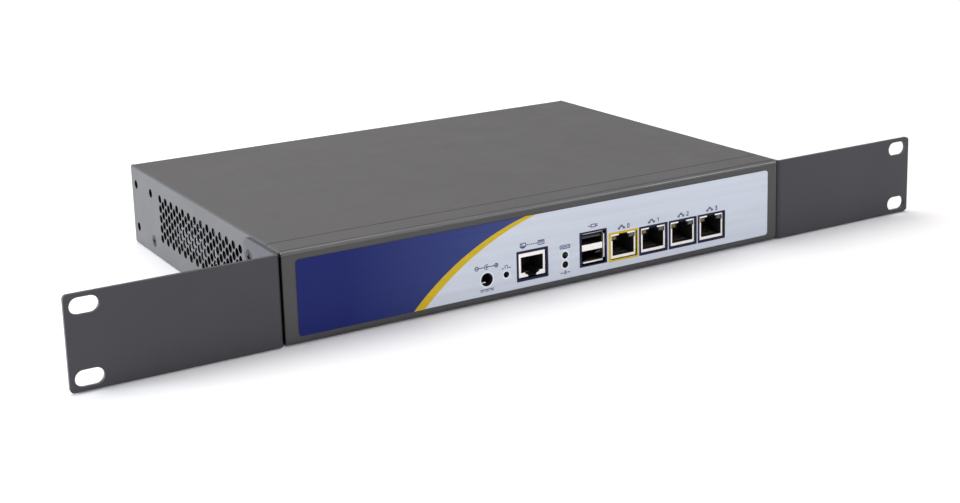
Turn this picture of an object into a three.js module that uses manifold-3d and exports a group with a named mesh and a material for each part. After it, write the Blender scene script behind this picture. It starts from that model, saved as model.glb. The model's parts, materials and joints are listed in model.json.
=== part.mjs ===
// A 1U firewall appliance with rack ears: a folded steel tray, a U-shaped cover, a printed front
// label, network, console and USB sockets, and the electronics inside.
// Millimetres, +Z up, +X to the right along the front, +Y to the rear.
// The origin is on the floor under the middle of the whole object.
import * as THREE from "three";
import { mergeGeometries, mergeVertices } from "three/addons/utils/BufferGeometryUtils.js";
import Module from "manifold-3d";

const wasm = await Module();
wasm.setup();

// ---------------------------------------------------------------- driving dimensions

const WIDTH = 288; // chassis, outside
const DEPTH = 207;
const HEIGHT = 44; // one rack unit, less the usual clearance
const SHEET = 1; // tray and cover steel
const GAP = 0.3; // clearance between pieces that fit into each other
const TOUCH = 0.05; // air film between pieces that rest on each other
const BEND = 2; // outer radius of the tray's folds
const COVER_BEND = 1.2; // and of the cover's

const LABEL_PROUD = 0.3; // the label stands this far in front of the panel
const REAR_HEAD = 1.6; // rear screw heads stand this far behind the cover

const FRONT = -(DEPTH + REAR_HEAD - LABEL_PROUD) / 2; // y of the front panel's face
const REAR = FRONT + DEPTH; // y of the cover's rear edge
const SIDE = WIDTH / 2; // x of the cover's side face

const TOP_SEAM = 16.2; // the front panel's top flange ends this far back
const SIDE_SEAM = 8; // and its side flanges this far back
const STEP_DEPTH = 2; // the tray and cover meet along a step this far below the top
const TONGUE_END = 46; // the stepped-in part of the side flanges ends here
const TONGUE_TOP = HEIGHT - 2.6;
const LOW_FLANGE_TOP = 9.6; // the tray's low side flanges
const LOW_FLANGE_END = 12; // stop this far short of the rear
const SUPPORT_LENGTH = 6; // the strip that carries the cover's front edge
const SUPPORT_INSET = 6;
const LIP_HEIGHT = 11; // the cover's rear lip

const RACK_WIDTH = 482.6; // over both ears
const EAR_SHEET = 2;
const EAR_HEIGHT = 43.1;
const EAR_BEND = 3;
const EAR_LEG_END = 38.5;
const EAR_CORNER = 2;
const EAR_LEG_CORNER = 4;
const SLOT = { x: 232.55, length: 12.8, height: 7.6, pitch: 31.75 };

// Holes in the chassis sides: distance behind the front, height.
const EAR_SCREWS = [14.6, 32.6].flatMap((back) => [9.8, 34].map((z) => ({ back, z })));
const REAR_HOLES = [
  { back: 199.8, z: 34 },
  { back: 175.8, z: 34 },
  { back: 199.8, z: 9.8 },
];
const SIDE_HOLE_RADIUS = 2.1;
const COVER_SCREW = { back: 174.9, z: 7.4 };
const REAR_SCREWS = [-110, 0, 110];
const REAR_SCREW_Z = 37.6;
const REAR_SCREW_HOLE = 1.7; // radius
const COVER_THREAD = 1.8; // radius
const CLINCH_NUT = { radius: 3.4, length: 3.5, reach: 6 }; // threads in the tray, reach is the bolt's

// Vents: a square grid of columns and rows with a second grid in its gaps.
const VENT = { first: 48.3, columns: 14, pitch: 8.65, lowest: 11.9, rows: 5, rise: 5.5, radius: 1.95 };

const LABEL = { halfWidth: 137.15, bottom: 3.6, top: 39.5, corner: 1.8 };

// Sockets on the front: x of each middle, heights above the floor.
const BOARD_TOP = 8.25;
const JACK = { width: 15.7, height: 12.7, depth: 21, recess: 0.4, wall: 0.4 };
const JACK_HOLE = { width: 16.1, bottom: 8.1, top: 21.2 };
const CONSOLE_X = -12.3;
const PORT_X = [42.5, 61.3, 80.2, 99.1];
const USB = { x: 24, width: 14.2, height: 16.1, depth: 17.5, mouth: 12.5, rise: 5.1, low: 12.7, high: 21.1 };
const USB_HOLE = { width: 14.6, bottom: 8.1, top: 24.6 };
const DC = { x: -38.5, z: 11.7, hole: 3.3, bore: 3, pin: 1.05 };
const RESET = { x: -27.5, z: 12.2, hole: 1.55, button: 1.2, bore: 1.5 };
const LEDS = { x: 6.7, heights: [15.8, 10.95], hole: 1.75, lens: 1.5 };
const PANEL_EXTRA = 0.2; // the panel's holes are this much larger all round than the label's

const BOARD = { left: -52, right: 118, front: 4, back: 174, thick: 1.6 };
const BOARD_FIXINGS = [-46, 112].flatMap((x) => [24, 166].map((back) => ({ x, back })));

// ---------------------------------------------------------------- shapes and solids

// A closed geometry as a solid that can be joined and cut.
function solid(geometry) {
  const bare = geometry.clone();
  bare.deleteAttribute("normal");
  bare.deleteAttribute("uv");
  const merged = mergeVertices(bare, 1e-4);
  return new wasm.Manifold(
    new wasm.Mesh({
      numProp: 3,
      vertProperties: merged.attributes.position.array,
      triVerts: new Uint32Array(merged.index.array),
    }),
  );
}

// A solid back as a geometry that three.js can draw.
function geometryOf(body) {
  const mesh = body.getMesh();
  const geometry = new THREE.BufferGeometry();
  geometry.setAttribute("position", new THREE.BufferAttribute(mesh.vertProperties, 3));
  geometry.setIndex(new THREE.BufferAttribute(mesh.triVerts, 1));
  geometry.computeVertexNormals();
  return geometry;
}

function boxGeometry([x0, x1], [y0, y1], [z0, z1]) {
  const geometry = new THREE.BoxGeometry(Math.abs(x1 - x0), y1 - y0, z1 - z0);
  geometry.translate((x0 + x1) / 2, (y0 + y1) / 2, (z0 + z1) / 2);
  return geometry;
}

const box = (xs, ys, zs) => solid(boxGeometry(xs, ys, zs));

// Which way a flat drawing's own x, y and thickness run in space.
const PLANES = {
  XY: [new THREE.Vector3(1, 0, 0), new THREE.Vector3(0, 1, 0), new THREE.Vector3(0, 0, 1)],
  XZ: [new THREE.Vector3(1, 0, 0), new THREE.Vector3(0, 0, 1), new THREE.Vector3(0, -1, 0)],
  YZ: [new THREE.Vector3(0, 1, 0), new THREE.Vector3(0, 0, 1), new THREE.Vector3(1, 0, 0)],
};

// A flat drawing given thickness from one coordinate to another across its plane. Each arc in the
// drawing is divided into twice as many straight steps as arcSteps says.
function extrude(shape, plane, from, to, arcSteps = 2) {
  const geometry = new THREE.ExtrudeGeometry(shape, {
    depth: to - from,
    bevelEnabled: false,
    curveSegments: arcSteps,
  });
  geometry.translate(0, 0, plane === "XZ" ? -to : from);
  geometry.applyMatrix4(new THREE.Matrix4().makeBasis(...PLANES[plane]));
  return solid(geometry);
}

// A rectangle whose corners are rounded one by one: lower left, lower right, upper right, upper left.
function roundedRectangle(u0, u1, v0, v1, [lowLeft, lowRight, highRight, highLeft]) {
  const shape = new THREE.Shape();
  shape.moveTo(u0 + lowLeft, v0);
  shape.lineTo(u1 - lowRight, v0);
  if (lowRight) shape.absarc(u1 - lowRight, v0 + lowRight, lowRight, -Math.PI / 2, 0);
  shape.lineTo(u1, v1 - highRight);
  if (highRight) shape.absarc(u1 - highRight, v1 - highRight, highRight, 0, Math.PI / 2);
  shape.lineTo(u0 + highLeft, v1);
  if (highLeft) shape.absarc(u0 + highLeft, v1 - highLeft, highLeft, Math.PI / 2, Math.PI);
  shape.lineTo(u0, v0 + lowLeft);
  if (lowLeft) shape.absarc(u0 + lowLeft, v0 + lowLeft, lowLeft, Math.PI, 1.5 * Math.PI);
  return shape;
}

function circle(u, v, radius) {
  const shape = new THREE.Shape();
  shape.absarc(u, v, radius, 0, 2 * Math.PI);
  return shape;
}

function polygon(points) {
  return new THREE.Shape(points.map(([u, v]) => new THREE.Vector2(u, v)));
}

// A round bar across a plane, between two coordinates.
function bar(plane, u, v, radius, from, to, sides = 12) {
  return extrude(circle(u, v, radius), plane, from, to, sides / 2);
}

// A turned piece: the profile is a list of radius and height, starting and ending on the axis.
function turned(profile, sides = 12) {
  return new THREE.LatheGeometry(
    profile.map(([radius, height]) => new THREE.Vector2(radius, height)),
    sides,
  );
}

function join(bodies) {
  return bodies.reduce((whole, body) => whole.add(body));
}

function cut(body, tools) {
  return tools.reduce((rest, tool) => rest.subtract(tool), body);
}

// ---------------------------------------------------------------- materials

function finish(colour, roughness, metalness) {
  return new THREE.MeshStandardMaterial({ color: colour, roughness, metalness });
}

const FINISH = {
  paint: finish(0x4f4f52, 0.62, 0.15),
  label: finish(0xc8ceda, 0.35, 0),
  screw: finish(0x2c2c2e, 0.4, 0.9),
  steel: finish(0xc9c7c1, 0.3, 1),
  brass: finish(0xc9a24a, 0.35, 1),
  black: finish(0x141416, 0.5, 0),
  board: finish(0x14402a, 0.45, 0),
  chip: finish(0x1c1c20, 0.4, 0),
  aluminium: finish(0xb4b6b8, 0.4, 1),
  lens: finish(0x6a2a24, 0.2, 0),
  lensGreen: finish(0x2c5a34, 0.2, 0),
  cableRed: finish(0x9c2020, 0.5, 0),
  cableBlack: finish(0x1a1a1a, 0.6, 0),
};

// ---------------------------------------------------------------- the object

const appliance = new THREE.Group();
appliance.name = "firewall_appliance";

function place(name, geometry, material, parent = appliance) {
  const mesh = new THREE.Mesh(geometry, material);
  mesh.name = name;
  parent.add(mesh);
  return mesh;
}

function placeSolid(name, body, material, parent = appliance) {
  return place(name, geometryOf(body), material, parent);
}

// ---- tray: floor, front panel with its flanges, rear panel, side flanges

const TRAY_SIDE = SIDE - SHEET - GAP; // x where the tray ends behind the cover's sides
const TRAY_REAR = REAR - SHEET - GAP;
const FAR = 400; // longer than anything here, for cutting tools

function trayBlock(inset) {
  const fold = BEND - inset;
  const [front, rear] = [FRONT + inset, TRAY_REAR - inset];
  const profile = roundedRectangle(front, rear, inset, HEIGHT - inset, [fold, fold, 0, fold]);
  const plan = roundedRectangle(-SIDE + inset, SIDE - inset, front, rear, [fold, fold, 0, 0]);
  return extrude(profile, "YZ", -SIDE, SIDE).intersect(extrude(plan, "XY", -1, HEIGHT + 1));
}

// The holes for everything that looks out of the front, each grown by the same amount.
function frontHoles(grow) {
  const window = (x, width, bottom, top) =>
    roundedRectangle(x - width / 2 - grow, x + width / 2 + grow, bottom - grow, top + grow, [0, 0, 0, 0]);
  return [
    circle(DC.x, DC.z, DC.hole + grow),
    circle(RESET.x, RESET.z, RESET.hole + grow),
    ...LEDS.heights.map((z) => circle(LEDS.x, z, LEDS.hole + grow)),
    ...[CONSOLE_X, ...PORT_X].map((x) => window(x, JACK_HOLE.width, JACK_HOLE.bottom, JACK_HOLE.top)),
    window(USB.x, USB_HOLE.width, USB_HOLE.bottom, USB_HOLE.top),
  ];
}

const ACROSS = [-SIDE - 1, SIDE + 1];

function sideBeyond(sign, x, ys, zs) {
  return box([sign * x, sign * (SIDE + 1)], ys, zs);
}

// Low side flanges and the stepped-in tongues behind the front, with a threaded nut for each ear screw.
function sideFlange(sign) {
  const between = (near, far) => [sign * near, sign * far].sort((a, b) => a - b);
  const inner = TRAY_SIDE - SHEET;
  const middle = TRAY_SIDE - SHEET / 2;
  const stepY = [FRONT + SIDE_SEAM - SHEET, FRONT + SIDE_SEAM];
  const sheetX = between(inner, TRAY_SIDE);
  const foot = SHEET / 2; // every flange starts inside the floor's thickness
  const nutX = between(middle - CLINCH_NUT.length, middle);
  const nuts = EAR_SCREWS.map(({ back, z }) => bar("YZ", FRONT + back, z, CLINCH_NUT.radius, ...nutX));
  const flange = join([
    box(between(inner, SIDE), stepY, [foot, HEIGHT - STEP_DEPTH]),
    box(sheetX, [stepY[0], FRONT + TONGUE_END], [foot, TONGUE_TOP]),
    box(sheetX, [FRONT + TONGUE_END, REAR - LOW_FLANGE_END], [foot, LOW_FLANGE_TOP]),
    ...nuts,
  ]);
  const threadX = between(TRAY_SIDE - CLINCH_NUT.reach, TRAY_SIDE + SHEET);
  const threads = EAR_SCREWS.map(({ back, z }) => bar("YZ", FRONT + back, z, SIDE_HOLE_RADIUS, ...threadX));
  const coverThread = bar("YZ", FRONT + COVER_SCREW.back, COVER_SCREW.z, COVER_THREAD, ...threadX);
  return cut(flange, [...threads, coverThread]);
}

function baseTray() {
  const seam = FRONT + TOP_SEAM;
  const step = HEIGHT - STEP_DEPTH;
  const shell = cut(trayBlock(0).subtract(trayBlock(SHEET)), [
    box(ACROSS, [seam, FAR], [HEIGHT - SHEET - GAP, HEIGHT + 1]),
    ...[-1, 1].flatMap((sign) => [
      sideBeyond(sign, TRAY_SIDE, [FRONT + SIDE_SEAM, FAR], [-1, step]),
      sideBeyond(sign, TRAY_SIDE, [seam, FAR], [-1, HEIGHT + 1]),
    ]),
  ]);
  const supportX = [-SIDE + SUPPORT_INSET, SIDE - SUPPORT_INSET];
  const supportTop = HEIGHT - SHEET - GAP;
  const support = join([
    box(supportX, [seam - SHEET, seam], [supportTop - SHEET, HEIGHT - SHEET / 2]),
    box(supportX, [seam - SHEET, seam + SUPPORT_LENGTH], [supportTop - SHEET, supportTop]),
  ]);
  const panelY = [FRONT - 1, FRONT + 2 * SHEET];
  const windows = frontHoles(PANEL_EXTRA).map((hole) => extrude(hole, "XZ", ...panelY, 8));
  const rearY = [TRAY_REAR - 2, REAR + 1];
  const rearHoles = REAR_SCREWS.map((x) => bar("XZ", x, REAR_SCREW_Z, REAR_SCREW_HOLE, ...rearY));
  return cut(join([shell, sideFlange(-1), sideFlange(1), support]), [...windows, ...rearHoles]);
}

placeSolid("base_tray", baseTray(), FINISH.paint);

// ---- cover: top and both sides from one sheet, with vents and a rear lip

function coverProfile() {
  const shape = new THREE.Shape();
  const inner = SIDE - SHEET;
  const innerTop = HEIGHT - SHEET;
  const fold = COVER_BEND - SHEET;
  shape.moveTo(-SIDE, 0);
  shape.lineTo(-inner, 0);
  shape.lineTo(-inner, innerTop - fold);
  shape.absarc(-inner + fold, innerTop - fold, fold, Math.PI, Math.PI / 2, true);
  shape.lineTo(inner - fold, innerTop);
  shape.absarc(inner - fold, innerTop - fold, fold, Math.PI / 2, 0, true);
  shape.lineTo(inner, 0);
  shape.lineTo(SIDE, 0);
  shape.lineTo(SIDE, HEIGHT - COVER_BEND);
  shape.absarc(SIDE - COVER_BEND, HEIGHT - COVER_BEND, COVER_BEND, 0, Math.PI / 2);
  shape.lineTo(-SIDE + COVER_BEND, HEIGHT);
  shape.absarc(-SIDE + COVER_BEND, HEIGHT - COVER_BEND, COVER_BEND, Math.PI / 2, Math.PI);
  return shape;
}

// One six-sided pin for each vent hole, long enough to pass through both sides.
function ventPins() {
  const pins = [];
  const addPin = (back, z) => {
    const pin = new THREE.CylinderGeometry(VENT.radius, VENT.radius, 2 * SIDE + 4, 6);
    pin.rotateZ(Math.PI / 2);
    pin.translate(0, FRONT + back, z);
    pins.push(pin);
  };
  for (let column = 0; column < VENT.columns; column++) {
    for (let row = 0; row < VENT.rows; row++) {
      const back = VENT.first + column * VENT.pitch;
      const z = VENT.lowest + row * VENT.rise;
      addPin(back, z);
      const between = column < VENT.columns - 1 && row < VENT.rows - 1;
      if (between) addPin(back + VENT.pitch / 2, z + VENT.rise / 2);
    }
  }
  return solid(mergeGeometries(pins));
}

const COUNTERSINK = { radius: 3, depth: 1.4, shank: 1.4, play: 0.15 }; // cover screw heads
const EAR_COUNTERSINK = { radius: 3.6, depth: 1.7, shank: 1.9, play: 0.15 };

// A cutting tool for a countersunk head whose flat face lies at x: a cone, with a straight mouth
// outside it and a drill that goes deeper. The side it opens to is +X or -X, as sign says.
function countersinkTool(sign, x, back, z, head) {
  const wide = head.radius + head.play;
  const narrow = head.shank + head.play;
  const stage = (outer, inner, from, length) => {
    const cone = new THREE.CylinderGeometry(outer, inner, length, 12);
    cone.rotateZ((-sign * Math.PI) / 2);
    cone.translate(sign * (from - length / 2), FRONT + back, z);
    return solid(cone);
  };
  return join([
    stage(wide, wide, x + 1, 1),
    stage(wide, narrow, x, head.depth),
    stage(narrow, narrow, x, 3 * SHEET + EAR_SHEET),
  ]);
}

function topCover() {
  const sheet = extrude(coverProfile(), "XZ", FRONT + SIDE_SEAM + GAP, REAR);
  const lipX = [-SIDE + 2 * SHEET, SIDE - 2 * SHEET];
  const lip = box(lipX, [REAR - SHEET, REAR], [HEIGHT - LIP_HEIGHT, HEIGHT - SHEET / 2]);
  const roundHoles = [...EAR_SCREWS, ...REAR_HOLES].map(({ back, z }) =>
    bar("YZ", FRONT + back, z, SIDE_HOLE_RADIUS, ...ACROSS),
  );
  const rearHoles = REAR_SCREWS.map((x) => bar("XZ", x, REAR_SCREW_Z, REAR_SCREW_HOLE, REAR - 2, REAR + 1));
  return cut(sheet.add(lip), [
    box(ACROSS, [-FAR, FRONT + TOP_SEAM + GAP], [HEIGHT - STEP_DEPTH - GAP, HEIGHT + 1]),
    ventPins(),
    ...roundHoles,
    ...rearHoles,
    ...[-1, 1].map((sign) => countersinkTool(sign, SIDE, COVER_SCREW.back, COVER_SCREW.z, COUNTERSINK)),
  ]);
}

placeSolid("top_cover", topCover(), FINISH.paint);

// ---- front label: a printed film with the same holes as the panel

function frontLabel() {
  const r = LABEL.corner;
  const film = roundedRectangle(-LABEL.halfWidth, LABEL.halfWidth, LABEL.bottom, LABEL.top, [r, r, r, r]);
  const holes = frontHoles(0).map((hole) => extrude(hole, "XZ", FRONT - 1, FRONT + 1, 8));
  return cut(extrude(film, "XZ", FRONT - LABEL_PROUD, FRONT - TOUCH), holes);
}

placeSolid("front_label", frontLabel(), FINISH.label);

// ---- rack ears: an L of thicker steel, screwed to the chassis side

function rackEar(sign) {
  const near = SIDE + TOUCH; // inner face of the leg
  const far = near + EAR_SHEET;
  const tip = RACK_WIDTH / 2;
  const outline = new THREE.Shape();
  outline.moveTo(tip, FRONT);
  outline.lineTo(tip, FRONT + EAR_SHEET);
  outline.lineTo(far, FRONT + EAR_SHEET);
  outline.lineTo(far, FRONT + EAR_LEG_END);
  outline.lineTo(near, FRONT + EAR_LEG_END);
  outline.lineTo(near, FRONT + EAR_BEND);
  outline.absarc(near + EAR_BEND, FRONT + EAR_BEND, EAR_BEND, Math.PI, 1.5 * Math.PI);
  const corner = EAR_CORNER;
  const face = roundedRectangle(SIDE - 2, tip, 0, EAR_HEIGHT, [0, corner, corner, 0]);
  const legEnd = FRONT + EAR_LEG_END;
  const leg = roundedRectangle(FRONT - 1, legEnd, 0, EAR_HEIGHT, [0, EAR_LEG_CORNER, EAR_LEG_CORNER, 0]);
  const ear = extrude(outline, "XY", 0, HEIGHT)
    .intersect(extrude(face, "XZ", FRONT - 1, legEnd + 1))
    .intersect(extrude(leg, "YZ", SIDE - 2, tip + 2));
  const middle = EAR_HEIGHT / 2;
  const slots = [middle - SLOT.pitch / 2, middle + SLOT.pitch / 2].map((z) => {
    const flat = SLOT.length / 2 - SLOT.height / 2; // from the middle to where the round end starts
    const slot = new THREE.Shape();
    slot.absarc(SLOT.x + flat, z, SLOT.height / 2, -Math.PI / 2, Math.PI / 2);
    slot.absarc(SLOT.x - flat, z, SLOT.height / 2, Math.PI / 2, 1.5 * Math.PI);
    return extrude(slot, "XZ", FRONT - 1, FRONT + EAR_SHEET + 1, 6);
  });
  const sinks = EAR_SCREWS.map(({ back, z }) => countersinkTool(1, far, back, z, EAR_COUNTERSINK));
  const whole = cut(ear, [...slots, ...sinks]);
  return sign > 0 ? whole : whole.mirror([1, 0, 0]);
}

placeSolid("ear_left", rackEar(-1), FINISH.paint);
placeSolid("ear_right", rackEar(1), FINISH.paint);

// ---- screws: turned about their own Y axis, heads at the top

function countersunkScrew(head, length) {
  return turned([
    [0, -length],
    [head.shank, -length],
    [head.shank, -head.depth],
    [head.radius, 0],
    [0, 0],
  ]);
}

function buttonScrew(radius, height, shank, length) {
  return turned([
    [0, -length],
    [shank, -length],
    [shank, 0],
    [radius, 0],
    [0.85 * radius, 0.75 * height], // the shoulder of the domed head
    [0, height],
  ]);
}

const SIDES = [
  { sign: -1, side: "left" },
  { sign: 1, side: "right" },
];

const EAR_SCREW_LENGTH = 8;
const COVER_SCREW_LENGTH = 4;

for (const { sign, side } of SIDES) {
  EAR_SCREWS.forEach(({ back, z }, i) => {
    const turnedScrew = countersunkScrew(EAR_COUNTERSINK, EAR_SCREW_LENGTH);
    const screw = place(`ear_screw_${side}_${i + 1}`, turnedScrew, FINISH.screw);
    screw.rotation.z = (-sign * Math.PI) / 2;
    screw.position.set(sign * (SIDE + TOUCH + EAR_SHEET), FRONT + back, z);
  });
  const turnedScrew = countersunkScrew(COUNTERSINK, COVER_SCREW_LENGTH);
  const cover = place(`cover_screw_${side}`, turnedScrew, FINISH.screw);
  cover.rotation.z = (-sign * Math.PI) / 2;
  cover.position.set(sign * SIDE, FRONT + COVER_SCREW.back, COVER_SCREW.z);
}

const REAR_SCREW = { radius: 2.9, shank: 1.4, length: 6 };

REAR_SCREWS.forEach((x, i) => {
  const { radius, shank, length } = REAR_SCREW;
  const turnedScrew = buttonScrew(radius, REAR_HEAD - TOUCH, shank, length);
  const screw = place(`rear_screw_${i + 1}`, turnedScrew, FINISH.screw);
  screw.position.set(x, REAR + TOUCH, REAR_SCREW_Z);
});

// ---- main board on its standoffs

const BOARD_BOTTOM = BOARD_TOP - BOARD.thick;
const BOARD_HOLE = 1.7; // radius
const BOARD_SCREW = { radius: 2.8, height: 1.8, shank: 1.1, length: 5.5 };
const STANDOFF = { half: 2.6, corner: 1.5, thread: 1.4 };

function mainBoard() {
  const [front, back] = [FRONT + BOARD.front, FRONT + BOARD.back];
  const plate = roundedRectangle(BOARD.left, BOARD.right, front, back, [0, 0, 0, 0]);
  plate.holes = BOARD_FIXINGS.map(({ x, back }) => circle(x, FRONT + back, BOARD_HOLE));
  return extrude(plate, "XY", BOARD_BOTTOM, BOARD_TOP, 5);
}

placeSolid("main_board", mainBoard(), FINISH.board);

function boardStandoff() {
  const { half, corner } = STANDOFF;
  const post = roundedRectangle(-half, half, -half, half, [corner, corner, corner, corner]);
  const thread = bar("XY", 0, 0, STANDOFF.thread, 0, BOARD_TOP);
  return extrude(post, "XY", SHEET + TOUCH, BOARD_BOTTOM - TOUCH, 0.5).subtract(thread);
}

BOARD_FIXINGS.forEach(({ x, back }, i) => {
  placeSolid(`board_standoff_${i + 1}`, boardStandoff(), FINISH.brass).position.set(x, FRONT + back, 0);
  const { radius, height, shank, length } = BOARD_SCREW;
  const screw = place(`board_screw_${i + 1}`, buttonScrew(radius, height, shank, length), FINISH.steel);
  screw.rotation.x = Math.PI / 2;
  screw.position.set(x, FRONT + back, BOARD_TOP + TOUCH);
});

// ---- processor, heat sink, memory, battery

const ON_BOARD = BOARD_TOP + TOUCH;
const CPU = { x: 30, y: FRONT + 105, half: 13, thick: 1.8 };
const SINK = { half: 30, foot: 4, height: 22, fins: 10, fin: 1.6 };
const MEMORY = { x: -12, y: FRONT + 92, length: 67.6, width: 30, thick: 1, lift: 2.3 };
const MEMORY_SOCKET = { back: 4, front: 2, height: 4, arm: 1.6, armHeight: 3.4, reach: 26, slack: 2 };
const BATTERY = { x: 95, y: FRONT + 120, radius: 10, thick: 3.2 };

const around = (middle, half) => [middle - half, middle + half];

placeSolid(
  "processor",
  box(around(CPU.x, CPU.half), around(CPU.y, CPU.half), [ON_BOARD, ON_BOARD + CPU.thick]),
  FINISH.chip,
);

function heatSink() {
  const bottom = ON_BOARD + CPU.thick + TOUCH;
  const y = around(CPU.y, SINK.half);
  const pitch = (2 * SINK.half - SINK.fin) / (SINK.fins - 1);
  const foot = box(around(CPU.x, SINK.half), y, [bottom, bottom + SINK.foot]);
  const fins = Array.from({ length: SINK.fins }, (_, i) => {
    const x = CPU.x - SINK.half + i * pitch;
    return box([x, x + SINK.fin], y, [bottom + SINK.foot / 2, bottom + SINK.height]);
  });
  return join([foot, ...fins]);
}

placeSolid("cpu_heatsink", heatSink(), FINISH.aluminium);

// A slot along Y that holds the module's edge, with a springy arm along each end of the module.
function memorySocket() {
  const { back, front, height, arm, armHeight, reach, slack } = MEMORY_SOCKET;
  const half = MEMORY.length / 2 + slack;
  const armX = [MEMORY.x - reach, MEMORY.x - back + 1];
  const armZ = [ON_BOARD, ON_BOARD + armHeight];
  const gap = arm + GAP;
  return join([
    box([MEMORY.x - back, MEMORY.x + front], around(MEMORY.y, half), [ON_BOARD, ON_BOARD + height]),
    box(armX, [MEMORY.y - half, MEMORY.y - half + arm], armZ),
    box(armX, [MEMORY.y + half - arm, MEMORY.y + half], armZ),
  ]).subtract(
    box(
      [MEMORY.x - back - 1, MEMORY.x],
      [MEMORY.y - half + gap, MEMORY.y + half - gap],
      [ON_BOARD + MEMORY.lift - GAP, ON_BOARD + MEMORY.lift + MEMORY.thick + GAP],
    ),
  );
}

placeSolid("memory_socket", memorySocket(), FINISH.black);
placeSolid(
  "memory_module",
  box(
    [MEMORY.x - 1 - MEMORY.width, MEMORY.x - 1],
    around(MEMORY.y, MEMORY.length / 2),
    [ON_BOARD + MEMORY.lift, ON_BOARD + MEMORY.lift + MEMORY.thick],
  ),
  FINISH.board,
);

placeSolid(
  "clock_battery",
  bar("XY", BATTERY.x, BATTERY.y, BATTERY.radius, ON_BOARD, ON_BOARD + BATTERY.thick, 20),
  FINISH.steel,
);

// ---- modular jacks: a pressed metal shell round a moulded insert

// Half of a plug mouth, from its sill up: each step is a half width that reaches up to a height.
function mouthShape(sill, steps) {
  const right = [];
  let low = sill;
  for (const [half, high] of steps) {
    right.push([half, low], [half, high]);
    low = high;
  }
  const left = right.map(([u, v]) => [-u, v]).reverse();
  return polygon([...right, ...left]);
}

const MOUTH = { half: 6.3, sill: 1.6, top: 9.7, neck: 4, neckTop: 11.3, latch: 2.5, depth: 12.5 };
const INSERT_SLACK = 0.1; // between the insert and the shell
const SHELL_FACE = 0.6; // how far back the shell's front reaches before the insert starts
const LATCH_SLOT = 6; // how far back the shell's edge is open for the latch

function jackShell() {
  const { width, height, depth, wall } = JACK;
  const half = width / 2;
  const hollowY = [SHELL_FACE - INSERT_SLACK, depth + 1];
  const hollow = box([-half + wall, half - wall], hollowY, [wall, height - wall]);
  const face = mouthShape(MOUTH.sill - 2 * INSERT_SLACK, [
    [MOUTH.half + 2 * INSERT_SLACK, MOUTH.neckTop],
    [MOUTH.latch + 2 * INSERT_SLACK, height + 1],
  ]);
  const latchSlot = box([-MOUTH.latch, MOUTH.latch], [-1, LATCH_SLOT], [height - 1, height + 1]);
  const block = box([-half, half], [0, depth], [0, height]);
  return cut(block, [hollow, extrude(face, "XZ", -1, SHELL_FACE), latchSlot]);
}

function jackInsert() {
  const { width, height, depth, wall } = JACK;
  const inset = wall + INSERT_SLACK;
  const half = width / 2 - inset;
  const block = box([-half, half], [SHELL_FACE, depth - 1], [inset, height - inset]);
  const mouth = mouthShape(MOUTH.sill, [
    [MOUTH.half, MOUTH.top],
    [MOUTH.neck, MOUTH.neckTop],
    [MOUTH.latch, height],
  ]);
  return block.subtract(extrude(mouth, "XZ", 0, MOUTH.depth));
}

const JACKS = [
  { name: "console", x: CONSOLE_X, latchDown: true },
  ...PORT_X.map((x, i) => ({ name: `network_${i}`, x, latchDown: false })),
];

for (const { name, x, latchDown } of JACKS) {
  const socket = new THREE.Group();
  socket.position.set(x, FRONT + JACK.recess, ON_BOARD);
  if (latchDown) {
    socket.rotation.y = Math.PI;
    socket.position.z = ON_BOARD + JACK.height;
  }
  appliance.add(socket);
  placeSolid(`${name}_shell`, jackShell(), FINISH.steel, socket);
  placeSolid(`${name}_insert`, jackInsert(), FINISH.black, socket);
}

// ---- USB: two sockets one above the other in one shell, each with its tongue

const SOCKET_FRONT = FRONT + JACK.recess;
const USB_DEEP = 13; // depth of each mouth
const TONGUE = { half: 5.6, set: 1.4, low: 0.3, high: 2.2 }; // set back, and heights over the mouth's middle

function usbShell() {
  const depth = [SOCKET_FRONT, SOCKET_FRONT + USB.depth];
  const body = box(around(USB.x, USB.width / 2), depth, [ON_BOARD, ON_BOARD + USB.height]);
  const mouthY = [SOCKET_FRONT - 1, SOCKET_FRONT + USB_DEEP];
  const mouthX = around(USB.x, USB.mouth / 2);
  const mouths = [USB.low, USB.high].map((z) => box(mouthX, mouthY, around(z, USB.rise / 2)));
  return cut(body, mouths);
}

placeSolid("usb_shell", usbShell(), FINISH.steel);
for (const [name, z] of [
  ["usb_tongue_lower", USB.low],
  ["usb_tongue_upper", USB.high],
]) {
  const tongueY = [SOCKET_FRONT + TONGUE.set, SOCKET_FRONT + USB_DEEP - TOUCH];
  const tongue = box(around(USB.x, TONGUE.half), tongueY, [z + TONGUE.low, z + TONGUE.high]);
  placeSolid(name, tongue, FINISH.black);
}

// ---- power inlet

const INLET_FRONT = FRONT + SHEET + GAP;
const INLET = { half: 4.5, depth: 13.5, above: 4.2, boreDepth: 9.5, pinSet: 1.2 };

function inletBody() {
  const y = [INLET_FRONT, INLET_FRONT + INLET.depth];
  const block = box(around(DC.x, INLET.half), y, [ON_BOARD, DC.z + INLET.above]);
  return block.subtract(bar("XZ", DC.x, DC.z, DC.bore, INLET_FRONT - 1, INLET_FRONT + INLET.boreDepth, 16));
}

const PIN_Y = [INLET_FRONT + INLET.pinSet, INLET_FRONT + INLET.boreDepth - TOUCH];
placeSolid("dc_inlet_body", inletBody(), FINISH.black);
placeSolid("dc_inlet_pin", bar("XZ", DC.x, DC.z, DC.pin, ...PIN_Y, 12), FINISH.steel);

// ---- reset switch: the button slides to the rear inside the switch body

const SWITCH_FRONT = FRONT + 4.6;
const SWITCH = { half: 3, depth: 4.4, bore: 3 };
const BUTTON_Y = [FRONT + 2, SWITCH_FRONT + 2];

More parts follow.
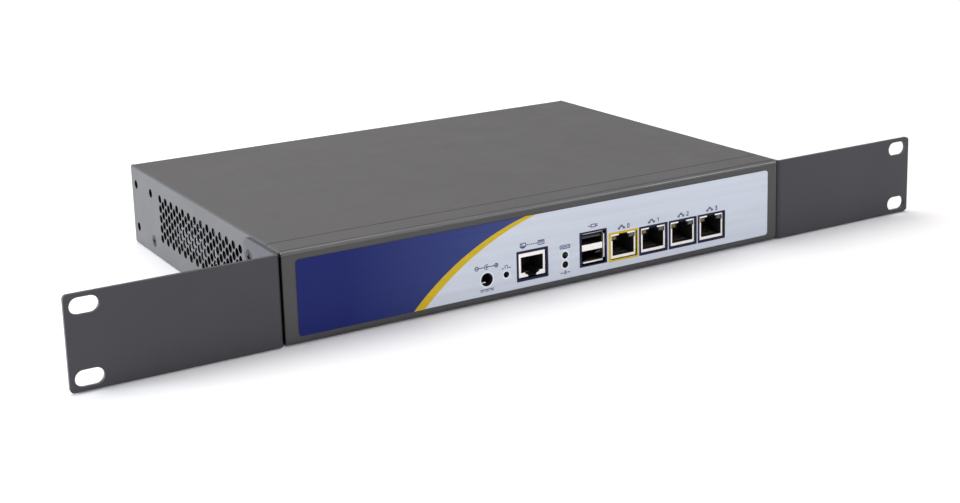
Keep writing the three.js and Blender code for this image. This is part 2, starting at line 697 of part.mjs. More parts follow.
function switchBody() {
  const y = [SWITCH_FRONT, SWITCH_FRONT + SWITCH.depth];
  const block = box(around(RESET.x, SWITCH.half), y, [ON_BOARD, RESET.z + SWITCH.half]);
  const boreY = [SWITCH_FRONT - 1, SWITCH_FRONT + SWITCH.bore];
  return block.subtract(bar("XZ", RESET.x, RESET.z, RESET.bore, ...boreY));
}

placeSolid("reset_switch_body", switchBody(), FINISH.black);
placeSolid("reset_button", bar("XZ", RESET.x, RESET.z, RESET.button, ...BUTTON_Y, 12), FINISH.black);

// ---- indicator lamps in their holder

const HOLDER_FRONT = FRONT + 4;
const HOLDER = { half: 2.4, depth: 6 };
const LENS_TIP = FRONT + 0.6;
const highLamp = LEDS.heights[0];
placeSolid(
  "lamp_holder",
  box(
    around(LEDS.x, HOLDER.half),
    [HOLDER_FRONT, HOLDER_FRONT + HOLDER.depth],
    [ON_BOARD, highLamp + HOLDER.half],
  ),
  FINISH.black,
);

function lampLens() {
  const length = HOLDER_FRONT - TOUCH - LENS_TIP;
  const straight = length - LEDS.lens;
  const dome = [60, 30].map((angle) => {
    const a = THREE.MathUtils.degToRad(angle);
    return [LEDS.lens * Math.sin(a), straight + LEDS.lens * Math.cos(a)];
  });
  return turned([[0, 0], [LEDS.lens, 0], [LEDS.lens, straight], ...dome, [0, length]], 12);
}

for (const [name, z, material] of [
  ["drive_lamp", LEDS.heights[0], FINISH.lensGreen],
  ["power_lamp", LEDS.heights[1], FINISH.lens],
]) {
  const lamp = place(name, lampLens(), material);
  lamp.rotation.x = Math.PI;
  lamp.position.set(LEDS.x, HOLDER_FRONT - TOUCH, z);
}

// ---- drive bay beside the board

const BAY = { left: -138.5, right: -64, front: FRONT + 101, back: FRONT + 202, deck: 12 };
const TAB = { width: 3, low: 3, top: 33 }; // the bright upright at the bracket's front corner
const DRIVE = { inset: 2.5, width: 69.8, length: 100, height: 7 };

function driveBracket() {
  const ys = [BAY.front, BAY.back];
  const legZ = [SHEET + TOUCH, BAY.deck];
  const tabX = [BAY.left + SHEET - TAB.width, BAY.left + SHEET];
  return join([
    box([BAY.left, BAY.right], ys, [BAY.deck - SHEET, BAY.deck]),
    box([BAY.left, BAY.left + SHEET], ys, legZ),
    box([BAY.right - SHEET, BAY.right], ys, legZ),
    box(tabX, [BAY.front, BAY.front + SHEET], [TAB.low, TAB.top]),
  ]);
}

placeSolid("drive_bracket", driveBracket(), FINISH.steel);

const DRIVE_X = [BAY.left + DRIVE.inset, BAY.left + DRIVE.inset + DRIVE.width];
placeSolid(
  "solid_state_drive",
  box(DRIVE_X, [BAY.front + 1, BAY.front + 1 + DRIVE.length], [BAY.deck + TOUCH, BAY.deck + DRIVE.height]),
  FINISH.aluminium,
);

// ---- fan on the inside of the right-hand wall, behind the vents

const FAN = { face: TRAY_SIDE - SHEET - GAP, thick: 10, size: 40, y: FRONT + 104, z: 21.7, bore: 18.8 };
const FAN_FIXING = { offset: 16, radius: 1.6 };
const FAN_MOTOR = { radius: 9.5, plate: 1.2, strut: 2 };
const ROTOR = { set: 4.2, hub: 9.2, half: 3.8, blades: 7, blade: 1, chord: 8, span: 9.4, pitch: 38 };
const SHAFT = { radius: 1, from: -5.6, to: -3 };
const FAN_INNER = FAN.face - FAN.thick;

function fanFrame() {
  const corner = 2.5;
  const square = roundedRectangle(
    ...around(FAN.y, FAN.size / 2),
    ...around(FAN.z, FAN.size / 2),
    [corner, corner, corner, corner],
  );
  const through = [FAN_INNER - 1, FAN.face + 1];
  const spots = around(0, FAN_FIXING.offset).flatMap((u) => around(0, FAN_FIXING.offset).map((v) => [u, v]));
  const ring = cut(extrude(square, "YZ", FAN_INNER, FAN.face), [
    bar("YZ", FAN.y, FAN.z, FAN.bore, ...through, 28),
    ...spots.map(([u, v]) => bar("YZ", FAN.y + u, FAN.z + v, FAN_FIXING.radius, ...through, 8)),
  ]);
  const strutLength = FAN.bore + 0.6; // ends inside the ring
  const struts = [0, 1, 2].map((i) => {
    const strut = new THREE.BoxGeometry(FAN_MOTOR.plate, FAN_MOTOR.strut, strutLength);
    strut.translate(FAN_INNER + FAN_MOTOR.plate / 2, 0, strutLength / 2);
    strut.rotateX((i * 2 * Math.PI) / 3);
    strut.translate(0, FAN.y, FAN.z);
    return solid(strut);
  });
  const plate = bar("YZ", FAN.y, FAN.z, FAN_MOTOR.radius, FAN_INNER, FAN_INNER + FAN_MOTOR.plate, 16);
  const shaftHole = bar("YZ", FAN.y, FAN.z, SHAFT.radius + GAP, FAN_INNER - 1, FAN_INNER + 2);
  return join([ring, plate, ...struts]).subtract(shaftHole);
}

function fanRotor() {
  const hub = bar("YZ", 0, 0, ROTOR.hub, -ROTOR.half, ROTOR.half, 16);
  const shaft = bar("YZ", 0, 0, SHAFT.radius, SHAFT.from, SHAFT.to);
  const blades = Array.from({ length: ROTOR.blades }, (_, i) => {
    const blade = new THREE.BoxGeometry(ROTOR.blade, ROTOR.chord, ROTOR.span);
    blade.rotateZ(THREE.MathUtils.degToRad(ROTOR.pitch));
    blade.translate(0, 0, ROTOR.hub - 0.6 + ROTOR.span / 2);
    blade.rotateX((i * 2 * Math.PI) / ROTOR.blades);
    return solid(blade);
  });
  return join([hub, shaft, ...blades]);
}

placeSolid("fan_frame", fanFrame(), FINISH.black);
placeSolid("fan_rotor", fanRotor(), FINISH.black).position.set(FAN.face - ROTOR.set, FAN.y, FAN.z);

// ---- leads inside the case, and the header that the drive's leads plug into

const HEADER = { x: [-51, -44], y: [FRONT + 72, FRONT + 96], height: 6 };
placeSolid("board_header", box(HEADER.x, HEADER.y, [ON_BOARD, ON_BOARD + HEADER.height]), FINISH.black);

function lead(name, width, thickness, points, material) {
  const spots = points.map(([x, back, z]) => new THREE.Vector3(x, FRONT + back, z));
  const path = new THREE.CatmullRomCurve3(spots);
  const section = roundedRectangle(-width / 2, width / 2, -thickness / 2, thickness / 2, [0, 0, 0, 0]);
  const geometry = new THREE.ExtrudeGeometry(section, { steps: 14, extrudePath: path, bevelEnabled: false });
  place(name, geometry, material);
}

// Routes: x, distance behind the front, z.
const DATA_ROUTE = [
  [-98, 101.6, 16],
  [-98, 93, 16],
  [-88, 83, 14],
  [-72, 78, 12],
  [-60, 77, 11.5],
  [-51.4, 77, 11.5],
];
const POWER_ROUTE = [
  [-82, 101.6, 16],
  [-82, 97, 16],
  [-74, 92, 14],
  [-64, 90, 12],
  [-51.4, 90, 11.5],
];
const FAN_ROUTE = [
  [FAN_INNER - 0.35, 96, 6],
  [126, 96, 6],
  [121, 98, 9.6],
  [112, 100, 10],
];

lead("drive_data_lead", 1.6, 7, DATA_ROUTE, FINISH.cableRed);
lead("drive_power_lead", 1.8, 6, POWER_ROUTE, FINISH.cableBlack);
lead("fan_lead", 1.4, 2.4, FAN_ROUTE, FINISH.cableBlack);

export default appliance;
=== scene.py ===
"""The looks of a 1U firewall appliance with rack ears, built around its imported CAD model.

Lengths in the shape code are millimetres, and every piece is scaled to metres when it is made.
"""

import json
from math import atan2, cos, hypot, pi, radians, sin, sqrt, tau

import bmesh
import bpy
from mathutils import Matrix, Vector


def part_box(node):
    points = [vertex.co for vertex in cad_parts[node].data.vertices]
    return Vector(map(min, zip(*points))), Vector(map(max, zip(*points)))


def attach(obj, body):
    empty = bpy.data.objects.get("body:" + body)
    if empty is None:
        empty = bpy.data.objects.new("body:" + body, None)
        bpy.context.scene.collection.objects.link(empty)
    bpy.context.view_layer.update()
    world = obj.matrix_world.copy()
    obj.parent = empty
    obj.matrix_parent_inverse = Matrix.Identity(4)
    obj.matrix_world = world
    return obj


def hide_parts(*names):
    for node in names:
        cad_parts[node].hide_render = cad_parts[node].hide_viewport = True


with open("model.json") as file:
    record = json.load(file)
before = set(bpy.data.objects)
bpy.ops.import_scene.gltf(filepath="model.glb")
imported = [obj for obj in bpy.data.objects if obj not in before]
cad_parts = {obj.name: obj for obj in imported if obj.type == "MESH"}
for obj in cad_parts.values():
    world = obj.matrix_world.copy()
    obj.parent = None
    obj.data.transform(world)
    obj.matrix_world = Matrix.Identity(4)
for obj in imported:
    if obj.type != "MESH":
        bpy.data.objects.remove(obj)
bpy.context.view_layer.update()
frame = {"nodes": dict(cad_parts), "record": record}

MM = 0.001
CHASSIS = "chassis"


# ---- sizes, from the frame


def box_mm(node):
    low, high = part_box(node)
    return low / MM, high / MM


tray_low, tray_high = box_mm("base_tray")
cover_low, cover_high = box_mm("top_cover")
label_low, label_high = box_mm("front_label")
ear_low, ear_high = box_mm("ear_right")

FRONT = tray_low.y  # the front panel's face
REAR = cover_high.y
SIDE = cover_high.x
HEIGHT = cover_high.z
TRAY_REAR = tray_high.y
LABEL_FACE = label_low.y

SHEET = 1.0
FOLD = 2.0  # outer radius of the tray's folds
COVER_FOLD = 1.2  # and of the cover's
TAB_FOLD = 1.1  # and of the tabs beside the top flange
PANEL_SIDE_FOLD = 1.4  # and of the front panel's sides
GAP = 0.3
SEAM_GAP = 0.5
TRAY_SIDE = SIDE - SHEET - GAP
TOP_SEAM = 16.2
SIDE_SEAM = 8.0
STEP = 2.0
TONGUE_END, TONGUE_TOP = 46.0, HEIGHT - 2.6
LOW_FLANGE_TOP, LOW_FLANGE_END = 9.6, 12.0
LIP = 11.0

EAR_SHEET = 2.0
EAR_FOLD = 3.0
EAR_LEG = ear_high.y - FRONT
EAR_NEAR = ear_low.x
SLOT_X = 232.55
SLOT_LENGTH = 12.8
SLOT_HEIGHT = 7.6
SLOT_PITCH = 31.75

EAR_SCREW_SPOTS = [(back, z) for back in (14.6, 32.6) for z in (9.8, 34)]
SPARE_HOLES = [(199.8, 34), (175.8, 34), (199.8, 9.8)]
SIDE_HOLE = 2.4
COVER_SCREW = (174.9, 7.4)
REAR_SCREW_X = (-110, 0, 110)
REAR_SCREW_Z = 37.6

VENT_FIRST, VENT_PITCH, VENT_COLUMNS = 48.3, 8.65, 14
VENT_LOWEST, VENT_RISE, VENT_ROWS = 11.9, 5.5, 5
VENT_RADIUS = 2.2
VENTS = []
for column in range(VENT_COLUMNS):
    for line in range(VENT_ROWS):
        back, z = VENT_FIRST + column * VENT_PITCH, VENT_LOWEST + line * VENT_RISE
        VENTS.append((back, z))
        if column < VENT_COLUMNS - 1 and line < VENT_ROWS - 1:
            VENTS.append((back + VENT_PITCH / 2, z + VENT_RISE / 2))

DC_X, DC_Z, DC_HOLE = -38.5, 11.7, 3.3
RESET_X, RESET_Z, RESET_HOLE = -27.5, 12.2, 1.55
LAMP_X, LAMP_HEIGHTS, LAMP_HOLE = 6.7, (15.8, 10.95), 1.75
JACK_WINDOW = (16.1, 8.1, 21.2)  # width, bottom, top
USB_WINDOW = (14.6, 8.1, 24.6)

JACKS = ["console"] + [f"network_{i}" for i in range(4)]


def middle_x(node):
    low, high = box_mm(node)
    return (low.x + high.x) / 2


JACK_X = {name: middle_x(f"{name}_shell") for name in JACKS}
USB_X = middle_x("usb_shell")


# ---- outlines


def arc(u, v, radius, start, end, steps):
    """Points along an arc, both ends included; angles in degrees."""
    points = []
    for k in range(steps + 1):
        angle = radians(start + (end - start) * k / steps)
        points.append((u + radius * cos(angle), v + radius * sin(angle)))
    return points


def circle(u, v, radius, steps=32):
    """A full turn of an arc as a closed outline."""
    return arc(u, v, radius, 0, 360, steps)[:-1]


def rounded(u0, u1, v0, v1, radii, steps=6):
    """A rectangle with one corner radius, or four from lower left round to upper left."""
    if isinstance(radii, (int, float)):
        radii = [radii] * 4
    corners = [(u0, v0, 1, 1, 180), (u1, v0, -1, 1, 270), (u1, v1, -1, -1, 0), (u0, v1, 1, -1, 90)]
    points = []
    for (u, v, inward_u, inward_v, start), radius in zip(corners, radii):
        if radius:
            centre = (u + inward_u * radius, v + inward_v * radius)
            points += arc(*centre, radius, start, start + 90, steps)
        else:
            points.append((u, v))
    return points


def mirrored(points):
    """Adds the mirror image of half an outline, so that it closes across u = 0."""
    return points + [(-u, v) for u, v in reversed(points)]


# ---- flat sheets and folds


def linked(name, data):
    obj = bpy.data.objects.new(name, data)
    bpy.context.scene.collection.objects.link(obj)
    return obj


def plate(loops, thickness, edge=0.0, edge_steps=1):
    """A sheet of the area inside the first loop and outside the others, its rims rounded by edge."""
    curve = bpy.data.curves.new("outline", "CURVE")
    curve.dimensions = "2D"
    curve.fill_mode = "BOTH"
    curve.extrude = thickness / 2 - edge
    curve.bevel_depth = edge
    curve.bevel_resolution = edge_steps
    curve.offset = -edge
    for loop in loops:
        spline = curve.splines.new("POLY")
        spline.points.add(len(loop) - 1)
        spline.points.foreach_set("co", [c for u, v in loop for c in (u, v, 0, 1)])
        spline.use_cyclic_u = True
    holder = linked("outline", curve)
    mesh = bpy.data.meshes.new_from_object(holder.evaluated_get(bpy.context.evaluated_depsgraph_get()))
    bm = bmesh.new()
    bm.from_mesh(mesh)
    bmesh.ops.remove_doubles(bm, verts=bm.verts, dist=1e-4)
    bmesh.ops.translate(bm, verts=bm.verts, vec=(0, 0, thickness / 2))
    bpy.data.objects.remove(holder)
    bpy.data.curves.remove(curve)
    bpy.data.meshes.remove(mesh)
    return bm


# Where a plate's own u, v and w run, as columns of a rotation.
FACING_FRONT = Matrix(((1, 0, 0), (0, 0, -1), (0, 1, 0)))  # w towards the viewer, -Y
FACING_RIGHT = Matrix(((0, 0, 1), (1, 0, 0), (0, 1, 0)))  # u along +Y, v along +Z, w along +X
FACING_BACK = Matrix(((-1, 0, 0), (0, 0, 1), (0, 1, 0)))
FACING_LEFT = Matrix(((0, 0, -1), (-1, 0, 0), (0, 1, 0)))


def turned_to(bm, facing, offset=(0, 0, 0)):
    bmesh.ops.transform(bm, matrix=Matrix.Translation(offset) @ facing.to_4x4(), verts=bm.verts)
    return bm


def moved(bm, x=0, y=0, z=0):
    bmesh.ops.translate(bm, verts=bm.verts, vec=(x, y, z))
    return bm


def slab(loops, low, high, edge=0.0, edge_steps=1):
    """A plate that lies flat between two heights."""
    return moved(plate(loops, high - low, edge, edge_steps), z=low)


def face_plate(loops, front, thickness, edge=0.05, edge_steps=1):
    """A plate that stands upright, with its face at y = front."""
    return turned_to(plate(loops, thickness, edge, edge_steps), FACING_FRONT, (0, front + thickness, 0))


def fold(bm, origin, along, outward, radius, region=lambda point: True, steps=6):
    """Bends the part of a flat sheet that lies past a line through a right angle, away from outward.
    The line passes through origin and is square to along. Radius is the outer one."""
    origin, along, outward = Vector(origin), Vector(along), Vector(outward)
    length = radius * pi / 2
    for k in range(steps + 1):
        faces = [f for f in bm.faces if region(f.calc_center_median())]
        edges = {e for f in faces for e in f.edges}
        verts = {v for f in faces for v in f.verts}
        bmesh.ops.bisect_plane(
            bm, geom=[*verts, *edges, *faces], plane_co=origin + along * (length * k / steps),
            plane_no=along, dist=1e-4,
        )
    for vert in bm.verts:
        offset = vert.co - origin
        s = offset.dot(along)
        if s <= 1e-6 or not region(vert.co):
            continue
        depth = -offset.dot(outward)
        rest = offset - s * along + depth * outward
        angle = min(s / radius, pi / 2)
        reach = (radius - depth) * sin(angle)
        drop = radius - (radius - depth) * cos(angle) + max(0.0, s - length)
        vert.co = origin + rest + reach * along - drop * outward


# ---- making pieces

SMOOTH_ANGLE = radians(35)


SLOTS = {part["node"]: part["material_slot"] for part in frame["record"]["subparts"]}
BODIES = frame["record"]["behaviour"]["bodies"]
MADE = {}  # every material by its name


def piece(name, parts, looks, node=None):
    """One object from bmeshes in millimetres, in place of a CAD node or printed on the label. Looks
    names its materials in the order of the faces' material numbers."""
    mesh = bpy.data.meshes.new(name)
    whole = bmesh.new()
    for part in parts:
        step = bpy.data.meshes.new("part")
        part.to_mesh(step)
        whole.from_mesh(step)
        bpy.data.meshes.remove(step)
        part.free()
    bmesh.ops.recalc_face_normals(whole, faces=whole.faces)
    bmesh.ops.scale(whole, verts=whole.verts, vec=(MM, MM, MM))
    for face in whole.faces:
        face.smooth = True
    for edge in whole.edges:
        edge.smooth = len(edge.link_faces) == 2 and edge.calc_face_angle(0) < SMOOTH_ANGLE
    whole.to_mesh(mesh)
    whole.free()
    for look in looks.split():
        mesh.materials.append(MADE[look])
    obj = linked(name, mesh)
    weighted = obj.modifiers.new("even shading", "WEIGHTED_NORMAL")
    weighted.keep_sharp = True
    weighted.weight = 100
    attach(obj, next((body for body, nodes in BODIES.items() if node in nodes), CHASSIS))
    if node:
        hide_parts(node)


def paint_faces(bm, number):
    for face in bm.faces:
        face.material_index = number
    return bm


def paint_where(bm, number, test):
    for face in bm.faces:
        if test(face.calc_center_median(), face.normal):
            face.material_index = number


def lathe(profile, steps=32):
    """A turned solid about +W from (radius, height) points. They start and end on the axis, or the
    last one joins the first to make a ring."""
    bm = bmesh.new()
    verts = [bm.verts.new((radius, 0, height)) for radius, height in profile]
    following = verts[1:] + (verts[:1] if profile[0][0] > 0 else [])
    geom = verts + [bm.edges.new(pair) for pair in zip(verts, following)]
    turn = {"cent": (0, 0, 0), "axis": (0, 0, 1), "angle": tau, "steps": steps}
    bmesh.ops.spin(bm, geom=geom, use_merge=True, use_duplicate=False, **turn)
    bmesh.ops.remove_doubles(bm, verts=bm.verts, dist=1e-4)
    return bm


def block(xs, ys, zs, edge=0.1, steps=2, paint=0):
    """A box between two corners with its edges rounded."""
    bm = bmesh.new()
    bmesh.ops.create_cube(bm, size=1)
    bmesh.ops.scale(bm, verts=bm.verts, vec=[high - low for low, high in (xs, ys, zs)])
    moved(bm, *[(low + high) / 2 for low, high in (xs, ys, zs)])
    if edge:
        bmesh.ops.bevel(bm, geom=bm.edges[:], offset=edge, segments=steps, profile=0.5, affect="EDGES")
    return paint_faces(bm, paint)


def about(middle, half):
    """The span that reaches half to each side of a middle."""
    return middle - half, middle + half


def row(count, pitch, middle=0):
    """Evenly spaced places about a middle."""
    return [middle + (k - (count - 1) / 2) * pitch for k in range(count)]


def bar(start, end, width, thickness, edge=0.05, paint=0):
    """A flat bar from one point to another; its width lies along X."""
    start, end = Vector(start), Vector(end)
    along = end - start
    bm = block(about(0, width / 2), (0, along.length), about(0, thickness / 2), edge, 1, paint)
    return turned_to(bm, Matrix.Rotation(atan2(along.z, along.y), 3, "X"), start)


def skin(rings):
    """A closed shell through rings of points, capped at both ends."""
    bm = bmesh.new()
    rings = [[bm.verts.new(point) for point in ring] for ring in rings]
    for first, second in zip(rings, rings[1:]):
        for k in range(len(first)):
            after = (k + 1) % len(first)
            bm.faces.new((first[k], first[after], second[after], second[k]))
    bm.faces.new(rings[0][::-1])
    bm.faces.new(rings[-1])
    return bm


def cross_recess(reach, tip, root):
    """The outline of a cross-shaped screwdriver recess."""
    points = []
    for k in range(4):
        c, s = cos(k * pi / 2), sin(k * pi / 2)
        points += [(u * c - v * s, u * s + v * c) for u, v in ((reach, -tip), (reach, tip), (root, root))]
    return points


# ---- materials

class Shader:
    """A small helper that adds nodes to one material."""

    def __init__(self, name):
        self.material = MADE[name] = bpy.data.materials.new(name)
        self.material.use_nodes = True
        self.tree = self.material.node_tree
        self.surface = self.tree.nodes["Principled BSDF"]
        self.place = self.tree.nodes.new("ShaderNodeTexCoord").outputs["Object"]

    def set(self, socket, value):
        if isinstance(value, bpy.types.NodeSocket):
            self.tree.links.new(value, socket)
        else:
            socket.default_value = value

    def node(self, kind, inputs, **settings):
        made = self.tree.nodes.new(kind)
        for key, value in settings.items():
            setattr(made, key, value)
        for key, value in inputs.items():
            self.set(made.inputs[key], value)
        return made

    def noise(self, scale, detail=3.0, stretch=None):
        vector = self.place
        if stretch:
            vector = self.node("ShaderNodeMapping", {"Vector": vector, "Scale": stretch}).outputs[0]
        inputs = {"Vector": vector, "Scale": scale, "Detail": detail, "Roughness": 0.55}
        return self.node("ShaderNodeTexNoise", inputs).outputs[0]

    def between(self, factor, low, high, from_low=0.3, from_high=0.7):
        """Factor remapped to run from low to high."""
        inputs = dict(zip(("Value", "From Min", "From Max"), (factor, from_low, from_high)))
        return self.node("ShaderNodeMapRange", inputs | {"To Min": low, "To Max": high}).outputs[0]

    def mix(self, factor, first, second):
        return self.node("ShaderNodeMix", {0: factor, 6: first, 7: second}, data_type="RGBA").outputs[2]

    def tones(self, factor, colour, low, high, *span):
        """One colour, from darker to lighter by two multipliers."""
        first, second = [(*[c * part for c in colour], 1.0) for part in (low, high)]
        return self.mix(self.between(factor, 0, 1, *span), first, second)

    def bump(self, height, strength, distance, **normal):
        inputs = {"Height": height, "Strength": strength, "Distance": distance, **normal}
        return self.node("ShaderNodeBump", inputs).outputs[0]

    def feed(self, **sockets):
        """Sets or links the surface's sockets; underscores stand for spaces."""
        for key, value in sockets.items():
            self.set(self.surface.inputs[key.replace("_", " ")], value)
        return self.material


def powder_coat(name, colour, roughness=0.5, specular=0.35, relief=1.0):
    """Baked textured paint: fine orange-peel grain, faint cloudiness and rubbed patches."""
    s = Shader(name)
    grain = s.noise(2600, 2.0)
    tone = s.tones(s.noise(14), colour, 0.95, 1.05)
    base = s.mix(0.35, tone, s.tones(grain, colour, 0.86, 1.12, 0.35, 0.65))
    rough = s.between(s.noise(38, 4.0), roughness - 0.05, roughness + 0.06)
    peel = s.bump(s.noise(900, 2.0), 0.2 * relief, 0.0001)
    normal = s.bump(grain, 0.28 * relief, 0.00006, Normal=peel)
    return s.feed(Base_Color=base, Roughness=rough, Normal=normal, Specular_IOR_Level=specular)


def coat(name, colour, cloud, shades, gloss, grain, relief, **sockets):
    """One colour with clouds in its tone and gloss, and a fine grain in relief."""
    s = Shader(name)
    haze = s.noise(*cloud)
    normal = s.bump(s.noise(*grain), *relief)
    base, rough = s.tones(haze, colour, *shades), s.between(haze, *gloss)
    return s.feed(Base_Color=base, Roughness=rough, Normal=normal, **sockets)


def plated(name, colour, rough=0.28):
    """Bright plated or rolled metal with fine rolling marks."""
    gloss, rolled = (rough - 0.05, rough + 0.1), (700, 2.0, (1, 1, 14))
    coat(name, colour, (160, 4.0), (0.9, 1.05), gloss, rolled, (0.15, 0.00004), Metallic=1.0)


def moulded(name, colour, rough=0.45):
    """Moulded plastic with a fine spark-eroded grain."""
    coat(name, colour, (90,), (0.85, 1.15), (rough - 0.06, rough + 0.08), (1800, 2.0), (0.2, 0.00005))


def tinted_lens(name, colour):
    """Epoxy lamp: tinted, smooth, with faint cloudiness."""
    cloud = (700, 2.0)
    coat(name, colour, cloud, (0.8, 1.2), (0.2, 0.32), cloud, (0.05, 0.00005), Specular_IOR_Level=0.3)


def printed(name, colour, far_colour=None, span=(0.0, 1.0)):
    """Ink or film of the label: faint streaks, and a second colour towards one end where given."""
    s = Shader(name)
    streaks = s.noise(40, 4.0, stretch=(0.25, 1, 9))
    base = s.tones(streaks, colour, 0.96, 1.04)
    if far_colour:
        x = s.node("ShaderNodeSeparateXYZ", {"Vector": s.place}).outputs[0]
        base = s.mix(s.between(x, 0, 1, *span), base, s.tones(streaks, far_colour, 0.94, 1.06))
    rough = s.between(streaks, 0.33, 0.42)
    normal = s.bump(s.noise(1500, 2.0), 0.12, 0.00004)
    return s.feed(Base_Color=base, Roughness=rough, Normal=normal, Specular_IOR_Level=0.2)


def circuit(name):
    """Green solder mask over copper: thin traces show as a slightly lighter, raised pattern."""
    s = Shader(name)
    inputs = {"Vector": s.place, "Scale": 260.0}
    cells = s.node("ShaderNodeTexVoronoi", inputs, feature="DISTANCE_TO_EDGE", distance="CHEBYCHEV")
    traces = s.between(cells.outputs[0], 1, 0, 0.03, 0.06)
    base = s.mix(traces, (0.004, 0.022, 0.013, 1), (0.01, 0.045, 0.024, 1))
    rough = s.between(s.noise(60), 0.3, 0.42)
    return s.feed(Base_Color=base, Roughness=rough, Normal=s.bump(traces, 0.3, 0.00005))


powder_coat("case_paint", (0.0712, 0.0695, 0.070), 0.43)
# Painted highlight: the case paint drawn a little lighter and glossier, laid on the top front fold to make a
# bright line there.
powder_coat("rubbed_fold", (0.078, 0.076, 0.076), 0.36, 1.0, 0.4)
# Painted shade: near-black paint laid in the ear grooves and on the side holes' walls.
powder_coat("dark_gap", (0.004, 0.004, 0.004), 0.7, 0.1)
# Painted shade: the ears carry the case's paint, drawn here about a quarter darker and a little bluer.
powder_coat("ear_paint", (0.054, 0.0525, 0.0605))
printed("mark_ink", (0.055, 0.06, 0.16))
printed("label_film", (0.66, 0.70, 0.785))
printed("blue_ink", (0.0035, 0.0115, 0.132), (0.042, 0.064, 0.228), (-0.113, -0.02))
printed("gold_ink", (0.66, 0.46, 0.014))
# Painted light: bright rings round the small holes, lighter than the film itself.
printed("painted_light_rim", (0.82, 0.85, 0.9))
printed("navy_ink", (0.012, 0.012, 0.06))
plated("black_screw", (0.035, 0.035, 0.038), 0.38)
plated("plated_steel", (0.78, 0.77, 0.74))
plated("tinned_steel", (0.93, 0.9, 0.86), 0.34)
plated("dull_steel", (0.25, 0.25, 0.25), 0.5)
plated("contact_gold", (0.2, 0.16, 0.09), 0.5)
plated("brass", (0.72, 0.52, 0.22), 0.3)
plated("aluminium", (0.62, 0.63, 0.64), 0.42)
moulded("black_plastic", (0.011, 0.011, 0.012))
moulded("socket_black", (0.004, 0.004, 0.004), 0.7)
moulded("tongue_plastic", (0.06, 0.06, 0.064), 0.5)
moulded("button_plastic", (0.03, 0.03, 0.032))
moulded("chip", (0.014, 0.014, 0.016), 0.55)
circuit("circuit_board")
moulded("red_sheath", (0.33, 0.012, 0.012), 0.5)
moulded("black_sheath", (0.012, 0.012, 0.012), 0.6)
tinted_lens("green_lens", (0.004, 0.02, 0.012))
tinted_lens("red_lens", (0.028, 0.005, 0.007))
tinted_lens("amber_window", (0.19, 0.14, 0.03))
tinted_lens("clear_window", (0.09, 0.13, 0.12))

for node, slot in SLOTS.items():
    mesh = frame["nodes"][node].data
    mesh.materials.clear()
    mesh.materials.append(MADE[slot])


# ---- front openings


def window(x, width, bottom, top, grow):
    half = width / 2 + grow
    return rounded(x - half, x + half, bottom - grow, top + grow, 0.3)


def front_holes(grow):
    """The outlines of all the holes in the front, each grown all round by the same amount."""
    holes = [circle(DC_X, DC_Z, DC_HOLE + grow), circle(RESET_X, RESET_Z, RESET_HOLE + grow)]
    holes += [circle(LAMP_X, z, LAMP_HOLE + grow) for z in LAMP_HEIGHTS]
    holes += [window(x, *JACK_WINDOW, grow) for x in JACK_X.values()]
    holes.append(window(USB_X, *USB_WINDOW, grow))
    return holes


# ---- tray and cover

ARC = FOLD * pi / 2  # the flat length that goes into one fold
COVER_ARC = COVER_FOLD * pi / 2
TAB_ARC = TAB_FOLD * pi / 2
PANEL_ARC = PANEL_SIDE_FOLD * pi / 2
EDGE = 0.12  # rounding of cut sheet edges
NUT_RADIUS, NUT_LENGTH = 3.4, 3.5


def tray_flanges(sign):
    """The low flange along one side, the tongue behind the front and the threaded nuts in it."""
    xs = sorted((sign * (TRAY_SIDE - SHEET), sign * TRAY_SIDE))
    step_back = FRONT + SIDE_SEAM
    parts = [
        block(xs, (FRONT + TONGUE_END - 1, REAR - LOW_FLANGE_END), (0.4, LOW_FLANGE_TOP), EDGE),
        block(xs, (step_back - SHEET, FRONT + TONGUE_END), (0.4, TONGUE_TOP), EDGE),
    ]
    for back, z in EAR_SCREW_SPOTS:
        ring = [(SIDE_HOLE, 0), (NUT_RADIUS, 0), (NUT_RADIUS, NUT_LENGTH), (SIDE_HOLE, NUT_LENGTH)]
        facing = FACING_LEFT if sign > 0 else FACING_RIGHT
        start = sign * (TRAY_SIDE - SHEET / 2)
        parts.append(turned_to(lathe(ring, 24), facing, (start, FRONT + back, z)))
    return parts


